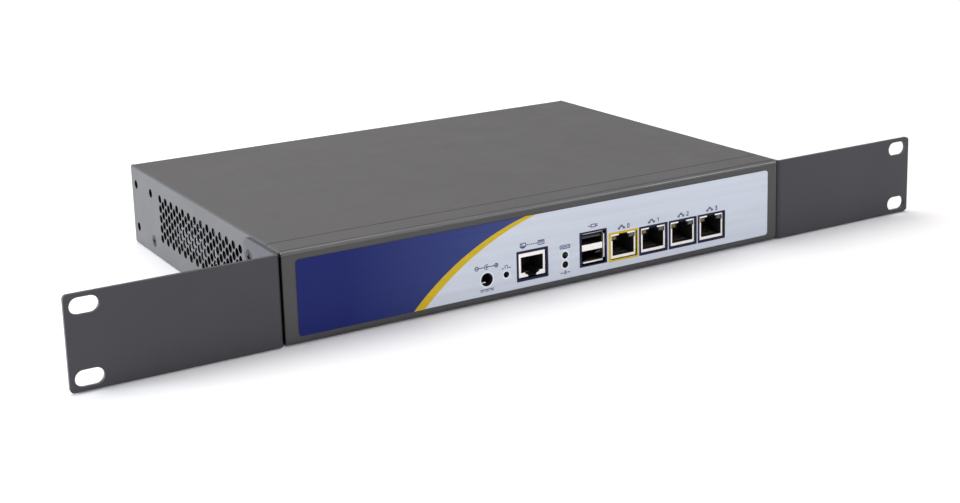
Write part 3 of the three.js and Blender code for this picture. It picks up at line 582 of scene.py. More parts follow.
def base_tray():
    """One sheet: floor, front panel with top and side flanges, rear panel, folded up from flat."""
    panel_start = FRONT + FOLD - ARC  # flat y of the panel's foot
    panel_end = panel_start - (HEIGHT - 2 * FOLD)
    flange_end = panel_end - ARC - (TOP_SEAM - FOLD)
    rear_start = TRAY_REAR - FOLD
    rear_end = rear_start + ARC + (HEIGHT - SHEET - GAP - FOLD)
    side_reach = SIDE - PANEL_SIDE_FOLD + PANEL_ARC + SIDE_SEAM - PANEL_SIDE_FOLD
    tab_reach = SIDE - TAB_FOLD + TAB_ARC + STEP - TAB_FOLD
    tab_start = panel_end - ARC - 0.3
    bend_half = SIDE - 0.3
    outline = [
        (TRAY_SIDE, rear_end), (TRAY_SIDE, FRONT + SIDE_SEAM), (bend_half, FRONT + SIDE_SEAM),
        (bend_half, panel_start), (side_reach, panel_start), (side_reach, panel_end),
        (bend_half, panel_end), (bend_half, tab_start), (tab_reach, tab_start), (tab_reach, flange_end),
    ]
    holes = [[(x, panel_start - (z - FOLD)) for x, z in hole] for hole in front_holes(0.5)]
    rear_screw_y = rear_start + ARC + REAR_SCREW_Z - FOLD
    holes += [circle(x, rear_screw_y, 1.7) for x in REAR_SCREW_X]
    bm = plate([mirrored(outline), *holes], SHEET, EDGE)

    def in_panel(point):
        return panel_end - 0.01 < point.y < panel_start + 0.01

    def in_flange(point):
        return point.y < tab_start + 0.2

    down = (0, 0, -1)
    for sign in (-1, 1):
        start = (sign * (SIDE - PANEL_SIDE_FOLD), 0, 0)
        fold(bm, start, (sign, 0, 0), down, PANEL_SIDE_FOLD, in_panel)
        fold(bm, (sign * (SIDE - TAB_FOLD), 0, 0), (sign, 0, 0), down, TAB_FOLD, in_flange)
    fold(bm, (0, panel_end, 0), (0, -1, 0), down, FOLD, steps=10)
    fold(bm, (0, FRONT + FOLD, 0), (0, -1, 0), down, FOLD)
    fold(bm, (0, rear_start, 0), (0, 1, 0), down, FOLD)
    # Painted highlight: the lower part of the top front fold gets the lighter, glossier fold paint.
    paint_where(bm, 1, lambda at, _: HEIGHT - FOLD < at.z < HEIGHT - 0.35 and at.y < FRONT + FOLD)
    # Painted shade: the outermost 0.45 mm of the front's sides, in the groove beside the ears, is drawn near
    # black.
    side_z = ear_high.z
    paint_where(bm, 2, lambda at, _: abs(at.x) > SIDE - 0.45 and at.y < FRONT + SIDE_SEAM and at.z < side_z)
    half, top, seam = SIDE - 6, HEIGHT - SHEET - GAP, FRONT + TOP_SEAM
    parts = [
        bm, *tray_flanges(-1), *tray_flanges(1),
        # the strip under the seam that carries the cover's front edge
        block((-half, half), (seam - 4, seam + 6), (top - SHEET, top), EDGE),
        block((-half, half), (seam - 4, seam - 1), (top - SHEET, HEIGHT - SHEET / 2), 0),
    ]
    piece("tray_sheet", parts, "case_paint rubbed_fold dark_gap", "base_tray")


def top_cover():
    """One sheet: top, both sides and the rear lip, folded down from flat."""
    side_start = SIDE - COVER_FOLD
    side_end = side_start + COVER_ARC + HEIGHT - COVER_FOLD

    def flat_x(z):
        return side_end - z

    seam = FRONT + TOP_SEAM + SEAM_GAP
    side_front = FRONT + SIDE_SEAM + GAP
    step = flat_x(HEIGHT - STEP - GAP)
    lip_half = side_start - 1.2
    lip_start = REAR - COVER_FOLD
    lip_end = lip_start + COVER_ARC + LIP - COVER_FOLD
    outline = [
        (step, seam), (step, side_front), (side_end, side_front), (side_end, REAR),
        (lip_half + 0.6, REAR), (lip_half + 0.6, lip_start), (lip_half, lip_start), (lip_half, lip_end),
    ]
    rear_screw_y = lip_start + COVER_ARC + HEIGHT - COVER_FOLD - REAR_SCREW_Z
    holes = [circle(x, rear_screw_y, 1.7) for x in REAR_SCREW_X]
    for sign in (-1, 1):
        for back, z in VENTS:
            holes.append(circle(sign * flat_x(z), FRONT + back, VENT_RADIUS, 20))
        for back, z in EAR_SCREW_SPOTS + SPARE_HOLES:
            holes.append(circle(sign * flat_x(z), FRONT + back, SIDE_HOLE))
        back, z = COVER_SCREW
        holes.append(circle(sign * flat_x(z), FRONT + back, 3.15))
    bm = slab([mirrored(outline), *holes], HEIGHT - SHEET, HEIGHT, EDGE)
    bm.normal_update()

    # Painted shade: the walls of the side holes are drawn near black so that the holes read dark.
    def in_hole(at, normal):
        in_side = SIDE + 1 < abs(at.x) < side_end - 1 and side_front + 1 < at.y < REAR - 1
        return in_side and abs(normal.z) < 0.3

    paint_where(bm, 1, in_hole)

    def in_lip(point):
        return abs(point.x) < lip_half + 0.3

    up = (0, 0, 1)
    fold(bm, (0, lip_start, HEIGHT), (0, 1, 0), up, COVER_FOLD, in_lip)
    for sign in (-1, 1):
        fold(bm, (sign * side_start, 0, HEIGHT), (sign, 0, 0), up, COVER_FOLD)
    piece("cover_sheet", [bm], "case_paint dark_gap", "top_cover")


base_tray()
top_cover()


# ---- rack ears


def rack_ear(side, sign):
    """An L of thicker sheet. Its fold faces the chassis, and its leg lies on the chassis side."""
    bottom, top = ear_low.z, ear_high.z
    fold_x = EAR_NEAR + EAR_FOLD
    leg_start = fold_x - EAR_FOLD * pi / 2
    leg_end = leg_start - (EAR_LEG - EAR_FOLD)
    outline = rounded(leg_end, ear_high.x, bottom, top, [4, 2, 2, 4], 8)
    radius = SLOT_HEIGHT / 2
    holes = []
    for z in row(2, SLOT_PITCH, (bottom + top) / 2):
        slot = (*about(SLOT_X, SLOT_LENGTH / 2), *about(z, radius))
        holes.append(rounded(*slot, radius - 0.001, 12))
    for back, z in EAR_SCREW_SPOTS:
        holes.append(circle(leg_start - (back - EAR_FOLD), z, 3.75))
    bm = face_plate([outline, *holes], FRONT, EAR_SHEET, 0.18, 2)
    fold(bm, (fold_x, FRONT, 0), (-1, 0, 0), (0, -1, 0), EAR_FOLD, steps=8)
    # Painted shade: the ear's fold faces nearest the chassis are drawn near black, for the groove between
    # ear and chassis.
    paint_where(bm, 1, lambda at, _: at.x < EAR_NEAR + 0.45 and at.y < FRONT + EAR_FOLD + 1)
    if sign < 0:
        bmesh.ops.scale(bm, verts=bm.verts, vec=(-1, 1, 1))
        bmesh.ops.reverse_faces(bm, faces=bm.faces)
    piece(f"rack_ear_{side}", [bm], "ear_paint dark_gap", f"ear_{side}")


# ---- screws


def sunk_screw(name, node, facing, at, radius, depth, shank, length, recess):
    """A countersunk screw. Its flat face, with a cross recess, lies at w = 0."""
    rim = 0.7
    top = slab([circle(0, 0, radius), cross_recess(*recess)], -rim, 0, 0.06)
    inner = radius - 0.5
    profile = [(0, -length), (shank, -length), (shank, -depth - 0.2), (inner, -rim), (inner, -rim + 0.02)]
    cone = lathe([*profile, (0, -rim + 0.02)])
    parts = [turned_to(part, facing, at) for part in (top, cone)]
    piece(name, parts, "black_screw", node)


def pan_screw(name, node, look, place, dome, rim, flat, shank, steps):
    """A domed screw with a cross recess. Place puts a part drawn about the axis where it belongs."""
    recessed = slab([circle(0, 0, 1.62, rim), cross_recess(1.35, 0.3, 0.4)], *flat, 0.05)
    parts = [lathe(dome, steps[0]), recessed, lathe(shank, steps[1])]
    piece(name, [place(part) for part in parts], look, node)


for side, sign, facing in (("left", -1, FACING_LEFT), ("right", 1, FACING_RIGHT)):
    rack_ear(side, sign)
    for i, (back, z) in enumerate(EAR_SCREW_SPOTS, 1):
        at = (sign * (EAR_NEAR + EAR_SHEET - 0.02), FRONT + back, z)
        node = f"ear_screw_{side}_{i}"
        sunk_screw(f"{node}_head", node, facing, at, 3.6, 1.7, 1.9, 8, (2.1, 0.42, 0.62))
    back, z = COVER_SCREW
    at = (sign * (SIDE - 0.02), FRONT + back, z)
    node = f"cover_screw_{side}"
    sunk_screw(f"{node}_head", node, facing, at, 3.0, 1.4, 1.4, 4, (1.75, 0.35, 0.5))

DOME = [(1.6, 0.05), (2.9, 0.05), (2.9, 0.45), (2.7, 0.95), (2.25, 1.3), (1.6, 1.5)]
SHANK = [(0, -6), (1.4, -6), (1.4, 0.3), (1.62, 0.3), (1.62, 0.62), (0, 0.62)]
for i, x in enumerate(REAR_SCREW_X, 1):
    node, at = f"rear_screw_{i}", (x, REAR, REAR_SCREW_Z)
    pan_screw(f"{node}_head", node, "black_screw", lambda bm: turned_to(bm, FACING_BACK, at),
              DOME, 32, (0.6, 1.5), SHANK, (32, 32))


# ---- front label

FILM_THICK = 0.22
INK = 0.03  # ink stands this far proud of the film
BAND_INNER = (17.3, -91.1, 134.8)  # centre and radius of the gold band's blue side
BAND_OUTER = (26.3, -97.4, 141.5)  # and of its pale side


def arc_x(band, z):
    """x where a band's circle crosses a height, on its left side."""
    u, v, radius = band
    return u - sqrt(radius**2 - (z - v) ** 2)


def label_film():
    rim = 0.12  # the ink reaches this far past the film
    low, high = label_low, label_high
    outline = rounded(low.x + rim, high.x - rim, low.z + rim, high.z - rim, 1.7, 8)
    film = face_plate([outline, *front_holes(0.35)], LABEL_FACE + INK, FILM_THICK, 0.03)
    piece("label_film", [film], "label_film", "front_label")


def ink(name, loops_list, look):
    """Flat printed shapes on the label's film, as one piece. Each shape is a list of loops."""
    parts = [face_plate(loops, LABEL_FACE, INK, 0) for loops in loops_list]
    piece(name, parts, look)


def band_points(band, low, high, steps=24):
    heights = [low + (high - low) * k / steps for k in range(steps + 1)]
    return [(arc_x(band, z), z) for z in heights]


def label_print():
    low, high = label_low.z, label_high.z
    left = label_low.x
    corner = 1.8
    field = arc(left + corner, high - corner, corner, 90, 180, 6)
    field += arc(left + corner, low + corner, corner, 180, 270, 6)
    field += band_points(BAND_INNER, low, high)
    ink("print_blue_field", [[field]], "blue_ink")
    band = band_points(BAND_OUTER, low, high) + band_points(BAND_INNER, high, low)
    ink("print_gold_band", [[band]], "gold_ink")


def port_border(name, left, right, bottom, top, x, hole, look):
    """A printed frame from its outer edges in to the edge of the socket's window."""
    outer = rounded(left, right, bottom, top, 0.35)
    ink(name, [[outer, window(x, *hole, 0)]], look)


def hole_rings():
    """Painted light rings round the small holes, brighter than the film itself."""
    spots = [(DC_X, DC_Z, DC_HOLE), (RESET_X, RESET_Z, RESET_HOLE)]
    spots += [(LAMP_X, z, LAMP_HOLE) for z in LAMP_HEIGHTS]
    rings = [[circle(x, z, radius + 0.75), circle(x, z, radius)] for x, z, radius in spots]
    ink("painted_light_hole_rims", rings, "painted_light_rim")


label_film()
label_print()
hole_rings()
x = JACK_X["console"]
port_border("print_border_console", x - 9.3, x + 9.05, 6.95, 22.35, x, JACK_WINDOW, "navy_ink")
port_border("print_border_usb", USB_X - 8.65, USB_X + 8.0, 7.5, 25.55, USB_X, USB_WINDOW, "navy_ink")
for i in range(4):
    x = JACK_X[f"network_{i}"]
    look = "gold_ink" if i == 0 else "navy_ink"
    port_border(f"print_border_network_{i}", x - 9.35, x + 8.9, 7.1, 22.3, x, JACK_WINDOW, look)


# ---- printed marks

LINE = 0.42  # width of the thin printed lines


def line(start, end):
    """The outline of a straight line with square ends."""
    (u0, v0), (u1, v1) = start, end
    length = hypot(u1 - u0, v1 - v0)
    du, dv = (u1 - u0) / length * LINE / 2, (v1 - v0) / length * LINE / 2
    return [[(u0 - du - dv, v0 - dv + du), (u0 - du + dv, v0 - dv - du),
             (u1 + du + dv, v1 + dv - du), (u1 + du - dv, v1 + dv + du)]]


def frame_box(u0, u1, v0, v1):
    half = LINE / 2
    return [
        rounded(u0 - half, u1 + half, v0 - half, v1 + half, 0.3, 3),
        rounded(u0 + half, u1 - half, v0 + half, v1 - half, 0.12, 3),
    ]


def mark(name, x, z, runs, boxes=(), dots=(), rings=(), arcs=(), arrow=()):
    """A mark about one place: runs of points, boxes (u0, u1, v0, v1), dots (u, v, radius), rings
    (u, radius) and arcs (outer radius, inner radius, start, end, steps)."""
    shapes = [frame_box(x + u0, x + u1, z + v0, z + v1) for u0, u1, v0, v1 in boxes]
    for run in runs:
        run = [(x + u, z + v) for u, v in run]
        shapes += [line(*ends) for ends in zip(run, run[1:])]
    shapes += [[circle(x + u, z + v, radius, 16)] for u, v, radius in dots]
    for u, radius in rings:
        shapes.append([circle(x + u, z, radius + LINE / 2, 24), circle(x + u, z, radius - LINE / 2, 24)])
    for outer, inner, start, end, steps in arcs:
        shapes.append([arc(x, z, outer, start, end, steps) + arc(x, z, inner, end, start, steps)])
    if arrow:
        shapes.append([[(x + u, z + v) for u, v in arrow]])
    ink(f"print_mark_{name}", shapes, "mark_ink")


def dash(u0, u1, v=0):
    return [(u0, v), (u1, v)]


# A screen with a prompt, a lead and a plug.
prompt = [(-6.3, 1.7), (-5.8, 1.2), (-6.3, 0.7)]
blades = [[(4.0 + 0.7 * k, 1.0), (4.0 + 0.7 * k, 1.7)] for k in range(4)]
base_lines = [dash(-5.4, -4.7, 0.7), dash(-6.2, -4.7, -0.1), dash(-3.3, -2.4, 1.1), dash(1.8, 2.7, 1.1)]
mark("console", JACK_X["console"], 23.9, [prompt, *base_lines, *blades],
     boxes=[(-7.0, -3.9, 0.35, 2.2), (3.3, 6.8, 0.1, 2.1)],
     dots=[(-1.4, 1.1, 0.35), (-0.3, 1.1, 0.35), (0.8, 1.1, 0.35)])
# A plug seen from the side.
mark("usb", USB_X - 0.3, 27.3, [dash(-2.9, -1.2, 0.8), dash(1.4, 2.6, 0.4), dash(1.4, 2.6, 1.2)],
     boxes=[(-1.2, 1.4, 0.1, 1.5)])
# Centre-positive barrel: minus, ring, dot in a part ring, plus.
mark("power_inlet", DC_X, 18.0,
     [dash(-6.0, -5.2), dash(-4.6, -1.3), dash(0.6, 4.4), dash(5.0, 5.8), [(5.4, -0.4), (5.4, 0.4)]],
     dots=[(0, 0, 0.55)], rings=[(-5.6, 0.95), (5.4, 0.95)], arcs=[(1.35, 1.0, 50, 310, 20)])
# A full line over a broken one.
mark("direct_current", DC_X, 6.4,
     [dash(-3.6, 3.6, 0.45), *[dash(k, k + 1.5, -0.35) for k in (-3.6, -0.75, 2.1)]])
# A turning arrow.
mark("reset", RESET_X, 16.1, [dash(-2.3, -1.6, -0.7), dash(1.7, 2.4, -0.7)],
     arcs=[(0.98, 0.64, -20, 250, 22)], arrow=[(0.35, -0.35), (1.3, -0.35), (0.85, -1.05)])
# A stack of platters.
mark("disk", LAMP_X, 20.1, [dash(-2.0, 1.0)], boxes=[(-2.9, 2.9, -0.75, 0.75)], dots=[(2.0, 0, 0.32)])
# The standby sign between two short lines.
mark("power", LAMP_X, 6.8, [[(0, 0.1), (0, 0.95)], dash(-2.6, -1.5), dash(1.5, 2.6)],
     arcs=[(0.85, 0.5, 125, 415, 20)])

# Digits as runs of points in a box one wide and two high.
DIGIT_LINES = [
    [[(0, 0), (0, 2), (1, 2), (1, 0), (0, 0)]], [[(0.2, 1.6), (0.6, 2), (0.6, 0)]],
    [[(0, 2), (1, 2), (1, 1.1), (0, 0), (1, 0)]], [[(0, 2), (1, 2), (1, 0), (0, 0)], [(0.3, 1), (1, 1)]],
]
# Three linked boxes and the port's number.
for i, lines in enumerate(DIGIT_LINES):
    digit = [[(2.3 + u, v * 0.92) for u, v in run] for run in lines]
    links = [[(-2.95, 0.65), (-2.0, 1.4)], [(0.05, 0.65), (-0.9, 1.4)]]
    mark(f"network_{i}", JACK_X[f"network_{i}"], 23.5, links + digit,
         boxes=[(-2.0, -0.9, 1.2, 1.85), (-3.5, -2.4, 0, 0.65), (-0.5, 0.6, 0, 0.65)])


# ---- modular jacks

shell_low, shell_high = box_mm("network_0_shell")
JACK_FACE = shell_low.y
JACK_WALL = 0.4
JACK_HALF = (shell_high.x - shell_low.x) / 2
JACK_BOTTOM, JACK_TOP = shell_low.z, shell_high.z
JACK_DEPTH = shell_high.y - shell_low.y
JACK_TALL = JACK_TOP - JACK_BOTTOM

# Right halves of the openings, from the foot of a socket whose latch is on top.
NETWORK_FACE = [(6.6, 1.55), (6.6, 9.5), (7.2, 9.5), (7.2, 11.9), (2.6, 11.9)]
CONSOLE_FACE = [(6.35, 2.15), (6.35, 10.0), (4.1, 10.0), (4.1, 10.7), (2.5, 11.4), (2.2, 12.2)]
NETWORK_MOUTH = [(6.35, 1.75), (6.35, 9.7), (3.6, 9.7), (3.6, 11.5), (2.4, 12.0)]
CONSOLE_MOUTH = [(6.2, 2.2), (6.2, 9.9), (3.9, 9.9), (2.4, 11.3), (2.1, 12.0)]


def placed_jack(parts, x, latch_down):
    """Moves a jack's parts, drawn with its foot at the origin, to their place in the front."""
    for bm in parts:
        if latch_down:
            middle = (0, 0, JACK_TALL / 2)
            bmesh.ops.rotate(bm, verts=bm.verts, cent=middle, matrix=Matrix.Rotation(pi, 3, "Y"))
        moved(bm, x, JACK_FACE, JACK_BOTTOM)
    return parts


def jack(name, latch_down):
    """The shell's face has an opening that breaks out through its top edge."""
    x = JACK_X[name]
    face, mouth = (CONSOLE_FACE, CONSOLE_MOUTH) if latch_down else (NETWORK_FACE, NETWORK_MOUTH)
    trim = 0.35 if latch_down else 0
    half, wall = JACK_HALF - trim / 2, JACK_WALL
    foot, tall = trim * 0.7, JACK_TALL - trim
    right = [(half, foot), (half, tall), (face[-1][0], tall), *reversed(face)]
    deep, roof = (0.15, JACK_DEPTH), (tall - wall, tall)
    walls = [
        ((-half, -half + wall), deep, (foot, tall)), ((half - wall, half), deep, (foot, tall)),
        ((-half, half), deep, (foot, foot + wall)), ((-half, half), (6, JACK_DEPTH), roof),
        ((-half, -2.7), deep, roof), ((2.7, half), deep, roof),
    ]
    shell = [face_plate([mirrored(right)], 0, wall, 0.1)] + [block(*spans) for spans in walls]
    shell = placed_jack(shell, x, latch_down)
    piece(f"{name}_pressed_shell", shell, "tinned_steel", f"{name}_shell")

    inner = half - wall - 0.1
    low, high = foot + wall + 0.1, JACK_TALL - wall - 0.1
    parts = [
        face_plate([rounded(-inner, inner, low, high, 0), mirrored(mouth)], wall + 0.1, 12.2),
        block((-inner, inner), (12.5, JACK_DEPTH - 1), (low, high)),
    ]
    comb = mouth[0][1]
    for u in row(8, 1.02):
        parts.append(bar((u, 5.5, 2.6), (u, 12.4, 5.4), 0.5, 0.3, paint=1))
        parts.append(block(about(u, 0.36), (2.7, 6), (comb, comb + 0.35), 0.05, 1, 4))
    if not latch_down:
        for number, u in ((2, -5.65), (3, 5.55)):
            parts.append(block(about(u, 1.45), (wall + 0.05, 4), (9.8, 11.75), 0.15, paint=number))
    parts = placed_jack(parts, x, latch_down)
    looks = "socket_black contact_gold amber_window clear_window tongue_plastic"
    piece(f"{name}_moulding", parts, looks, f"{name}_insert")


for name in JACKS:
    jack(name, latch_down=name == "console")


# ---- USB sockets

usb_low, usb_high = box_mm("usb_shell")
USB_MOUTHS = ((10.05, 15.3), (18.55, 23.75))  # bottom and top of each mouth
USB_LEFT, USB_RIGHT = usb_low.x + 0.35, usb_high.x - 1.3


def usb_sockets():
    """A metal tube with separate front flanges and a bright web between its two mouths."""
    bottom, top = usb_low.z + 0.6, usb_high.z
    front, back = usb_low.y, usb_high.y
    body = [
        rounded(usb_low.x + 0.3, usb_high.x - 0.55, bottom + 0.1, top - 0.15, 0.3),
        rounded(usb_low.x + 0.6, usb_high.x - 0.85, bottom + 0.4, top - 0.45, 0.2),
    ]
    flange_y = (front, front + 0.9)
    web_z = (USB_MOUTHS[0][1], USB_MOUTHS[1][0])
    line_z = about(sum(web_z) / 2, 0.3)
    mouths = [rounded(USB_LEFT, USB_RIGHT, *span, 0.3) for span in USB_MOUTHS]
    outline = rounded(usb_low.x + 0.65, usb_high.x - 0.9, bottom + 0.5, top - 0.5, 0.2)
    stop_z = (bottom + 0.6, top - 0.6)
    parts = [
        face_plate(body, front + 0.9, back - front - 0.9),
        block((USB_LEFT + 0.7, USB_RIGHT - 0.1), flange_y, (bottom + 0.15, bottom + 0.9), 0.06),
        block((USB_LEFT + 1.2, USB_RIGHT - 0.3), (front + 0.5, front + 0.9), (top - 0.45, top - 0.2), 0.08),
        block((usb_high.x - 0.85, usb_high.x - 0.05), flange_y, (bottom + 1.4, top - 1.6), 0.2),
        block((USB_LEFT, USB_RIGHT), (front + 0.05, front + 1.2), web_z, 0.25, 3),
        block((USB_LEFT + 0.5, USB_RIGHT - 0.5), (front, front + 0.5), line_z, 0.12),
        paint_faces(face_plate([outline, *mouths], front + 1, 11.7), 1),
        block((USB_LEFT, USB_RIGHT), (front + 12.6, back - 0.2), stop_z, paint=1),
    ]
    piece("usb_tube", parts, "tinned_steel socket_black", "usb_shell")


def usb_tongue(node):
    (x0, y0, z0), (x1, y1, z1) = box_mm(node)
    # Painted shade: the tongue's upper part is drawn in socket black for the web's shadow; only its lowest
    # 0.9 mm shows its own grey.
    shade_edge = z0 + 0.9
    parts = [
        block((x0, x1), (y0 + 0.15, y1), (shade_edge - 0.1, z1), 0.2),
        block((x0, x1), (y0, y1), (z0 + 0.1, shade_edge), 0.15, paint=2),
    ]
    for x in row(4, 2.3, (x0 + x1) / 2):
        parts.append(block(about(x, 0.5), (y0 + 1.2, y1 - 0.5), (z0, z0 + 0.4), 0.08, paint=1))
    piece(f"{node}_part", parts, "socket_black contact_gold tongue_plastic", node)


usb_sockets()
usb_tongue("usb_tongue_lower")
usb_tongue("usb_tongue_upper")


# ---- power inlet, reset, lamps


def bored_block(node, hole, depth, corner, edge, back_edge):
    """A block whose face has one blind hole, in a front part and a back part."""
    (x0, y0, z0), (x1, y1, z1) = box_mm(node)
    return [
        face_plate([rounded(x0, x1, z0, z1, corner), circle(*hole)], y0, depth, edge, 2),
        block((x0, x1), (y0 + depth - 0.1, y1), (z0, z1), back_edge),
    ]


def front_pin(length, radius, shoulder, tip, root_y, x, z, steps):
    """A turned pin that points to the front, narrower towards its end."""
    (shoulder_radius, shoulder_at), (tip_radius, start) = shoulder, tip
    profile = [(0, 0), (radius, 0), (radius, length - start), (shoulder_radius, length - shoulder_at)]
    pin = lathe([*profile, (tip_radius, length), (0, length)], steps)
    return turned_to(pin, FACING_FRONT, (x, root_y, z))


def inlet():
    """A moulded block with a stepped bore, the spring leaf at its side, and its pin."""
    parts = bored_block("dc_inlet_body", (DC_X, DC_Z, 3.0), 9.5, 0.5, 0.15, 0.3)
    front, x = box_mm("dc_inlet_body")[0].y, DC_X - 1.0
    parts.append(bar((x, front - 0.15, DC_Z - 1.75), (x, front + 7, DC_Z - 1.2), 2.2, 0.5, paint=1))
    piece("dc_inlet_moulding", parts, "socket_black tinned_steel", "dc_inlet_body")
    low, high = box_mm("dc_inlet_pin")
    pin = front_pin(high.y - low.y - 2.6, 1.05, (0.8, 0.2), (0.4, 0.6), high.y, DC_X, DC_Z, 24)
    piece("dc_inlet_centre_pin", [pin], "dull_steel", "dc_inlet_pin")


def reset_switch():
    case = bored_block("reset_switch_body", (RESET_X, RESET_Z, 1.5), 3, 0.4, 0.1, 0.2)
    piece("reset_switch_case", case, "black_plastic", "reset_switch_body")
    tip, root = box_mm("reset_button")
    button = front_pin(root.y - tip.y, 1.2, (1.05, 0.1), (0.7, 0.35), root.y, RESET_X, RESET_Z, 28)
    piece("reset_push_button", [button], "button_plastic", "reset_button")


def lamp(node, look):
    low, high = box_mm(node)
    radius, length = (high.x - low.x) / 2, high.y - low.y
    straight = length - radius
    dome = [(u, straight + v) for u, v in arc(0, 0, radius, 10, 80, 7)]
    lens = lathe([(0, 0), (radius, 0), (radius, straight), *dome, (0, length)])
    turned_to(lens, FACING_FRONT, ((low.x + high.x) / 2, high.y, (low.z + high.z) / 2))
    piece(f"{node}_lens", [lens], look, node)


inlet()
reset_switch()
lamp("drive_lamp", "green_lens")
lamp("power_lamp", "red_lens")


# ---- main board and drive

BOARD_SCREW_SPOTS = [(x, y) for x in (-46, 112) for y in (-80.15, 61.85)]
NETWORK_X = [JACK_X[f"network_{i}"] for i in range(4)]
BOARD_TOP = box_mm("main_board")[1].z

# Parts on the board: x, y, half width, half depth, height.
CHIPS = [(x, -62, 4.5, 4.5, 1.1) for x in NETWORK_X]
CHIPS += [(-22, 44, 5, 4, 1.2), (76, -12, 6, 6, 1.2), (20, 48, 7, 5, 1.1), (50, 48, 7, 5, 1.1)]
COILS = [(x, -76.5, 6.6, 3.4, 4.2) for x in NETWORK_X]
COILS += [(x, -72, 3.6, 3.6, 3.8) for x in (-38, -28)] + [(70, y, 3.4, 3.4, 3.6) for y in (22, 12)]
CANS = [(-46, -62), (-46, -54), (8, -50), (16, -50), (24, -50), (78, 44), (86, 44), (94, 44)]
CAN_RADIUS, CAN_HEIGHT = 3.1, 7.2


def can(x, y):
    """An upright capacitor with a crimped foot and a rounded top."""
    r, h = CAN_RADIUS, CAN_HEIGHT
    bm = lathe([(0, 0), (r, 0), (r, 0.9), (r - 0.25, 1.2), (r, 1.5), (r, h - 0.3), (r - 0.3, h), (0, h)], 20)
    return paint_faces(moved(bm, x, y, BOARD_TOP), 4)


def main_board(x0, y0, z0, x1, y1, z1):
    holes = [circle(x, y, 1.7, 20) for x, y in BOARD_SCREW_SPOTS]
    parts = [slab([rounded(x0, x1, y0, y1, 0.8), *holes], z0, z1, 0.06)]
    for paint, group in ((1, CHIPS), (2, COILS)):
        for x, y, half_x, half_y, height in group:
            parts.append(block(about(x, half_x), about(y, half_y), (z1 + 0.1, z1 + height), 0.2, 1, paint))
    for x, y, half_x, half_y, _ in CHIPS:
        for leg in row(8, half_x / 4, x):
            parts.append(block(about(leg, 0.2), about(y, half_y + 0.8), (z1, z1 + 0.3), 0, paint=3))
        back = y + half_y
        for small in row(4, 2.2, x):
            parts.append(block(about(small, 0.6), (back + 1.8, back + 2.5), (z1, z1 + 0.5), 0.08, 1, 2))
    parts += [can(*spot) for spot in CANS]
    return parts


def board_fixings():
    for i, (x, y) in enumerate(BOARD_SCREW_SPOTS, 1):
        low, high = box_mm(f"board_standoff_{i}")
        post = slab([circle(x, y, 2.6, 6), circle(x, y, 1.4, 20)], low.z, high.z, 0.15, 2)
        piece(f"board_standoff_{i}_post", [post], "brass", f"board_standoff_{i}")
        low, high = box_mm(f"board_screw_{i}")
        head, neck = high.z - 1.8, high.z - 1.8 + 0.62
        dome = [(1.6, head), (2.8, head), (2.8, head + 0.5), (2.5, head + 1.2), (1.6, high.z)]
        shank = [(0, low.z), (1.1, low.z), (1.1, head), (1.61, head), (1.61, neck), (0, neck)]
        pan_screw(f"board_screw_{i}_head", f"board_screw_{i}", "plated_steel", lambda bm: moved(bm, x, y),
                  dome, 24, (head + 0.6, head + 1.7), shank, (24, 20))


def processor(x0, y0, z0, x1, y1, z1):
    rim = 2.5
    carrier = block((x0, x1), (y0, y1), (z0, z0 + 0.9), paint=1)
    lid = block((x0 + rim, x1 - rim), (y0 + rim, y1 - rim), (z0 + 0.8, z1), 0.3)
    return [carrier, lid]


def heat_sink(x0, y0, z0, x1, y1, z1):
    """A finned block, its fins cut across once."""
    fins, thick, cut = 10, 1.6, 1.5
    foot_top, middle = z0 + 4, (y0 + y1) / 2
    parts = [block((x0, x1), (y0, y1), (z0, foot_top), 0.3)]
    for x in row(fins, (x1 - x0 - thick) / (fins - 1), (x0 + x1) / 2):
        for ys in ((y0, middle - cut), (middle + cut, y1)):
            parts.append(block(about(x, thick / 2), ys, (foot_top - 0.5, z1), 0.25))
    return parts


def memory_slot(x0, y0, z0, x1, y1, z1):
    low, high = box_mm("memory_module")
    body_x = x1 - 6
    parts = [
        block((body_x, x1), (y0, y1), (z0, low.z - 0.15), 0.2),
        block((body_x, x1), (y0, y1), (high.z + 0.15, z1)),
        block((high.x + 0.15, x1), (y0, y1), (z0, z1)),
    ]
    for ys in ((y0, y0 + 1.6), (y1 - 1.6, y1)):
        parts.append(block((x0, body_x + 2), ys, (z0, z0 + 3.4), 0.3))
        parts.append(block((x0, x0 + 3), (ys[0] + 0.2, ys[1] - 0.2), (z0 + 3, z1 - 0.1), 0.3))
    return parts


def memory_stick(x0, y0, z0, x1, y1, z1):
    middle = (y0 + y1) / 2
    keyway = rounded(x1 - 4, x1 - 0.6, middle - 10.2, middle - 9, 0.5)
    parts = [slab([rounded(x0, x1, y0, y1, 0.3), keyway], z0, z0 + 0.6, 0.05)]
    parts += [block((x0 + 7, x0 + 18), about(y, 5), (z0 + 0.5, z1), paint=1) for y in row(4, 15.5, middle)]
    pad_x, pad_z = (x1 - 2.2, x1 - 0.2), (z0 + 0.55, z0 + 0.66)
    parts += [block(pad_x, about(y, 0.4), pad_z, 0, paint=2) for y in row(40, 1.5, middle)]
    return parts


def battery(x0, y0, z0, x1, y1, z1):
    r, h = (x1 - x0) / 2, z1 - z0
    cell = lathe([(0, 0), (r - 1.2, 0), (r - 1.2, 0.5), (r, 0.5), (r, h - 0.4), (r - 0.4, h), (0, h)], 48)
    return [moved(cell, x0 + r, (y0 + y1) / 2, z0)]


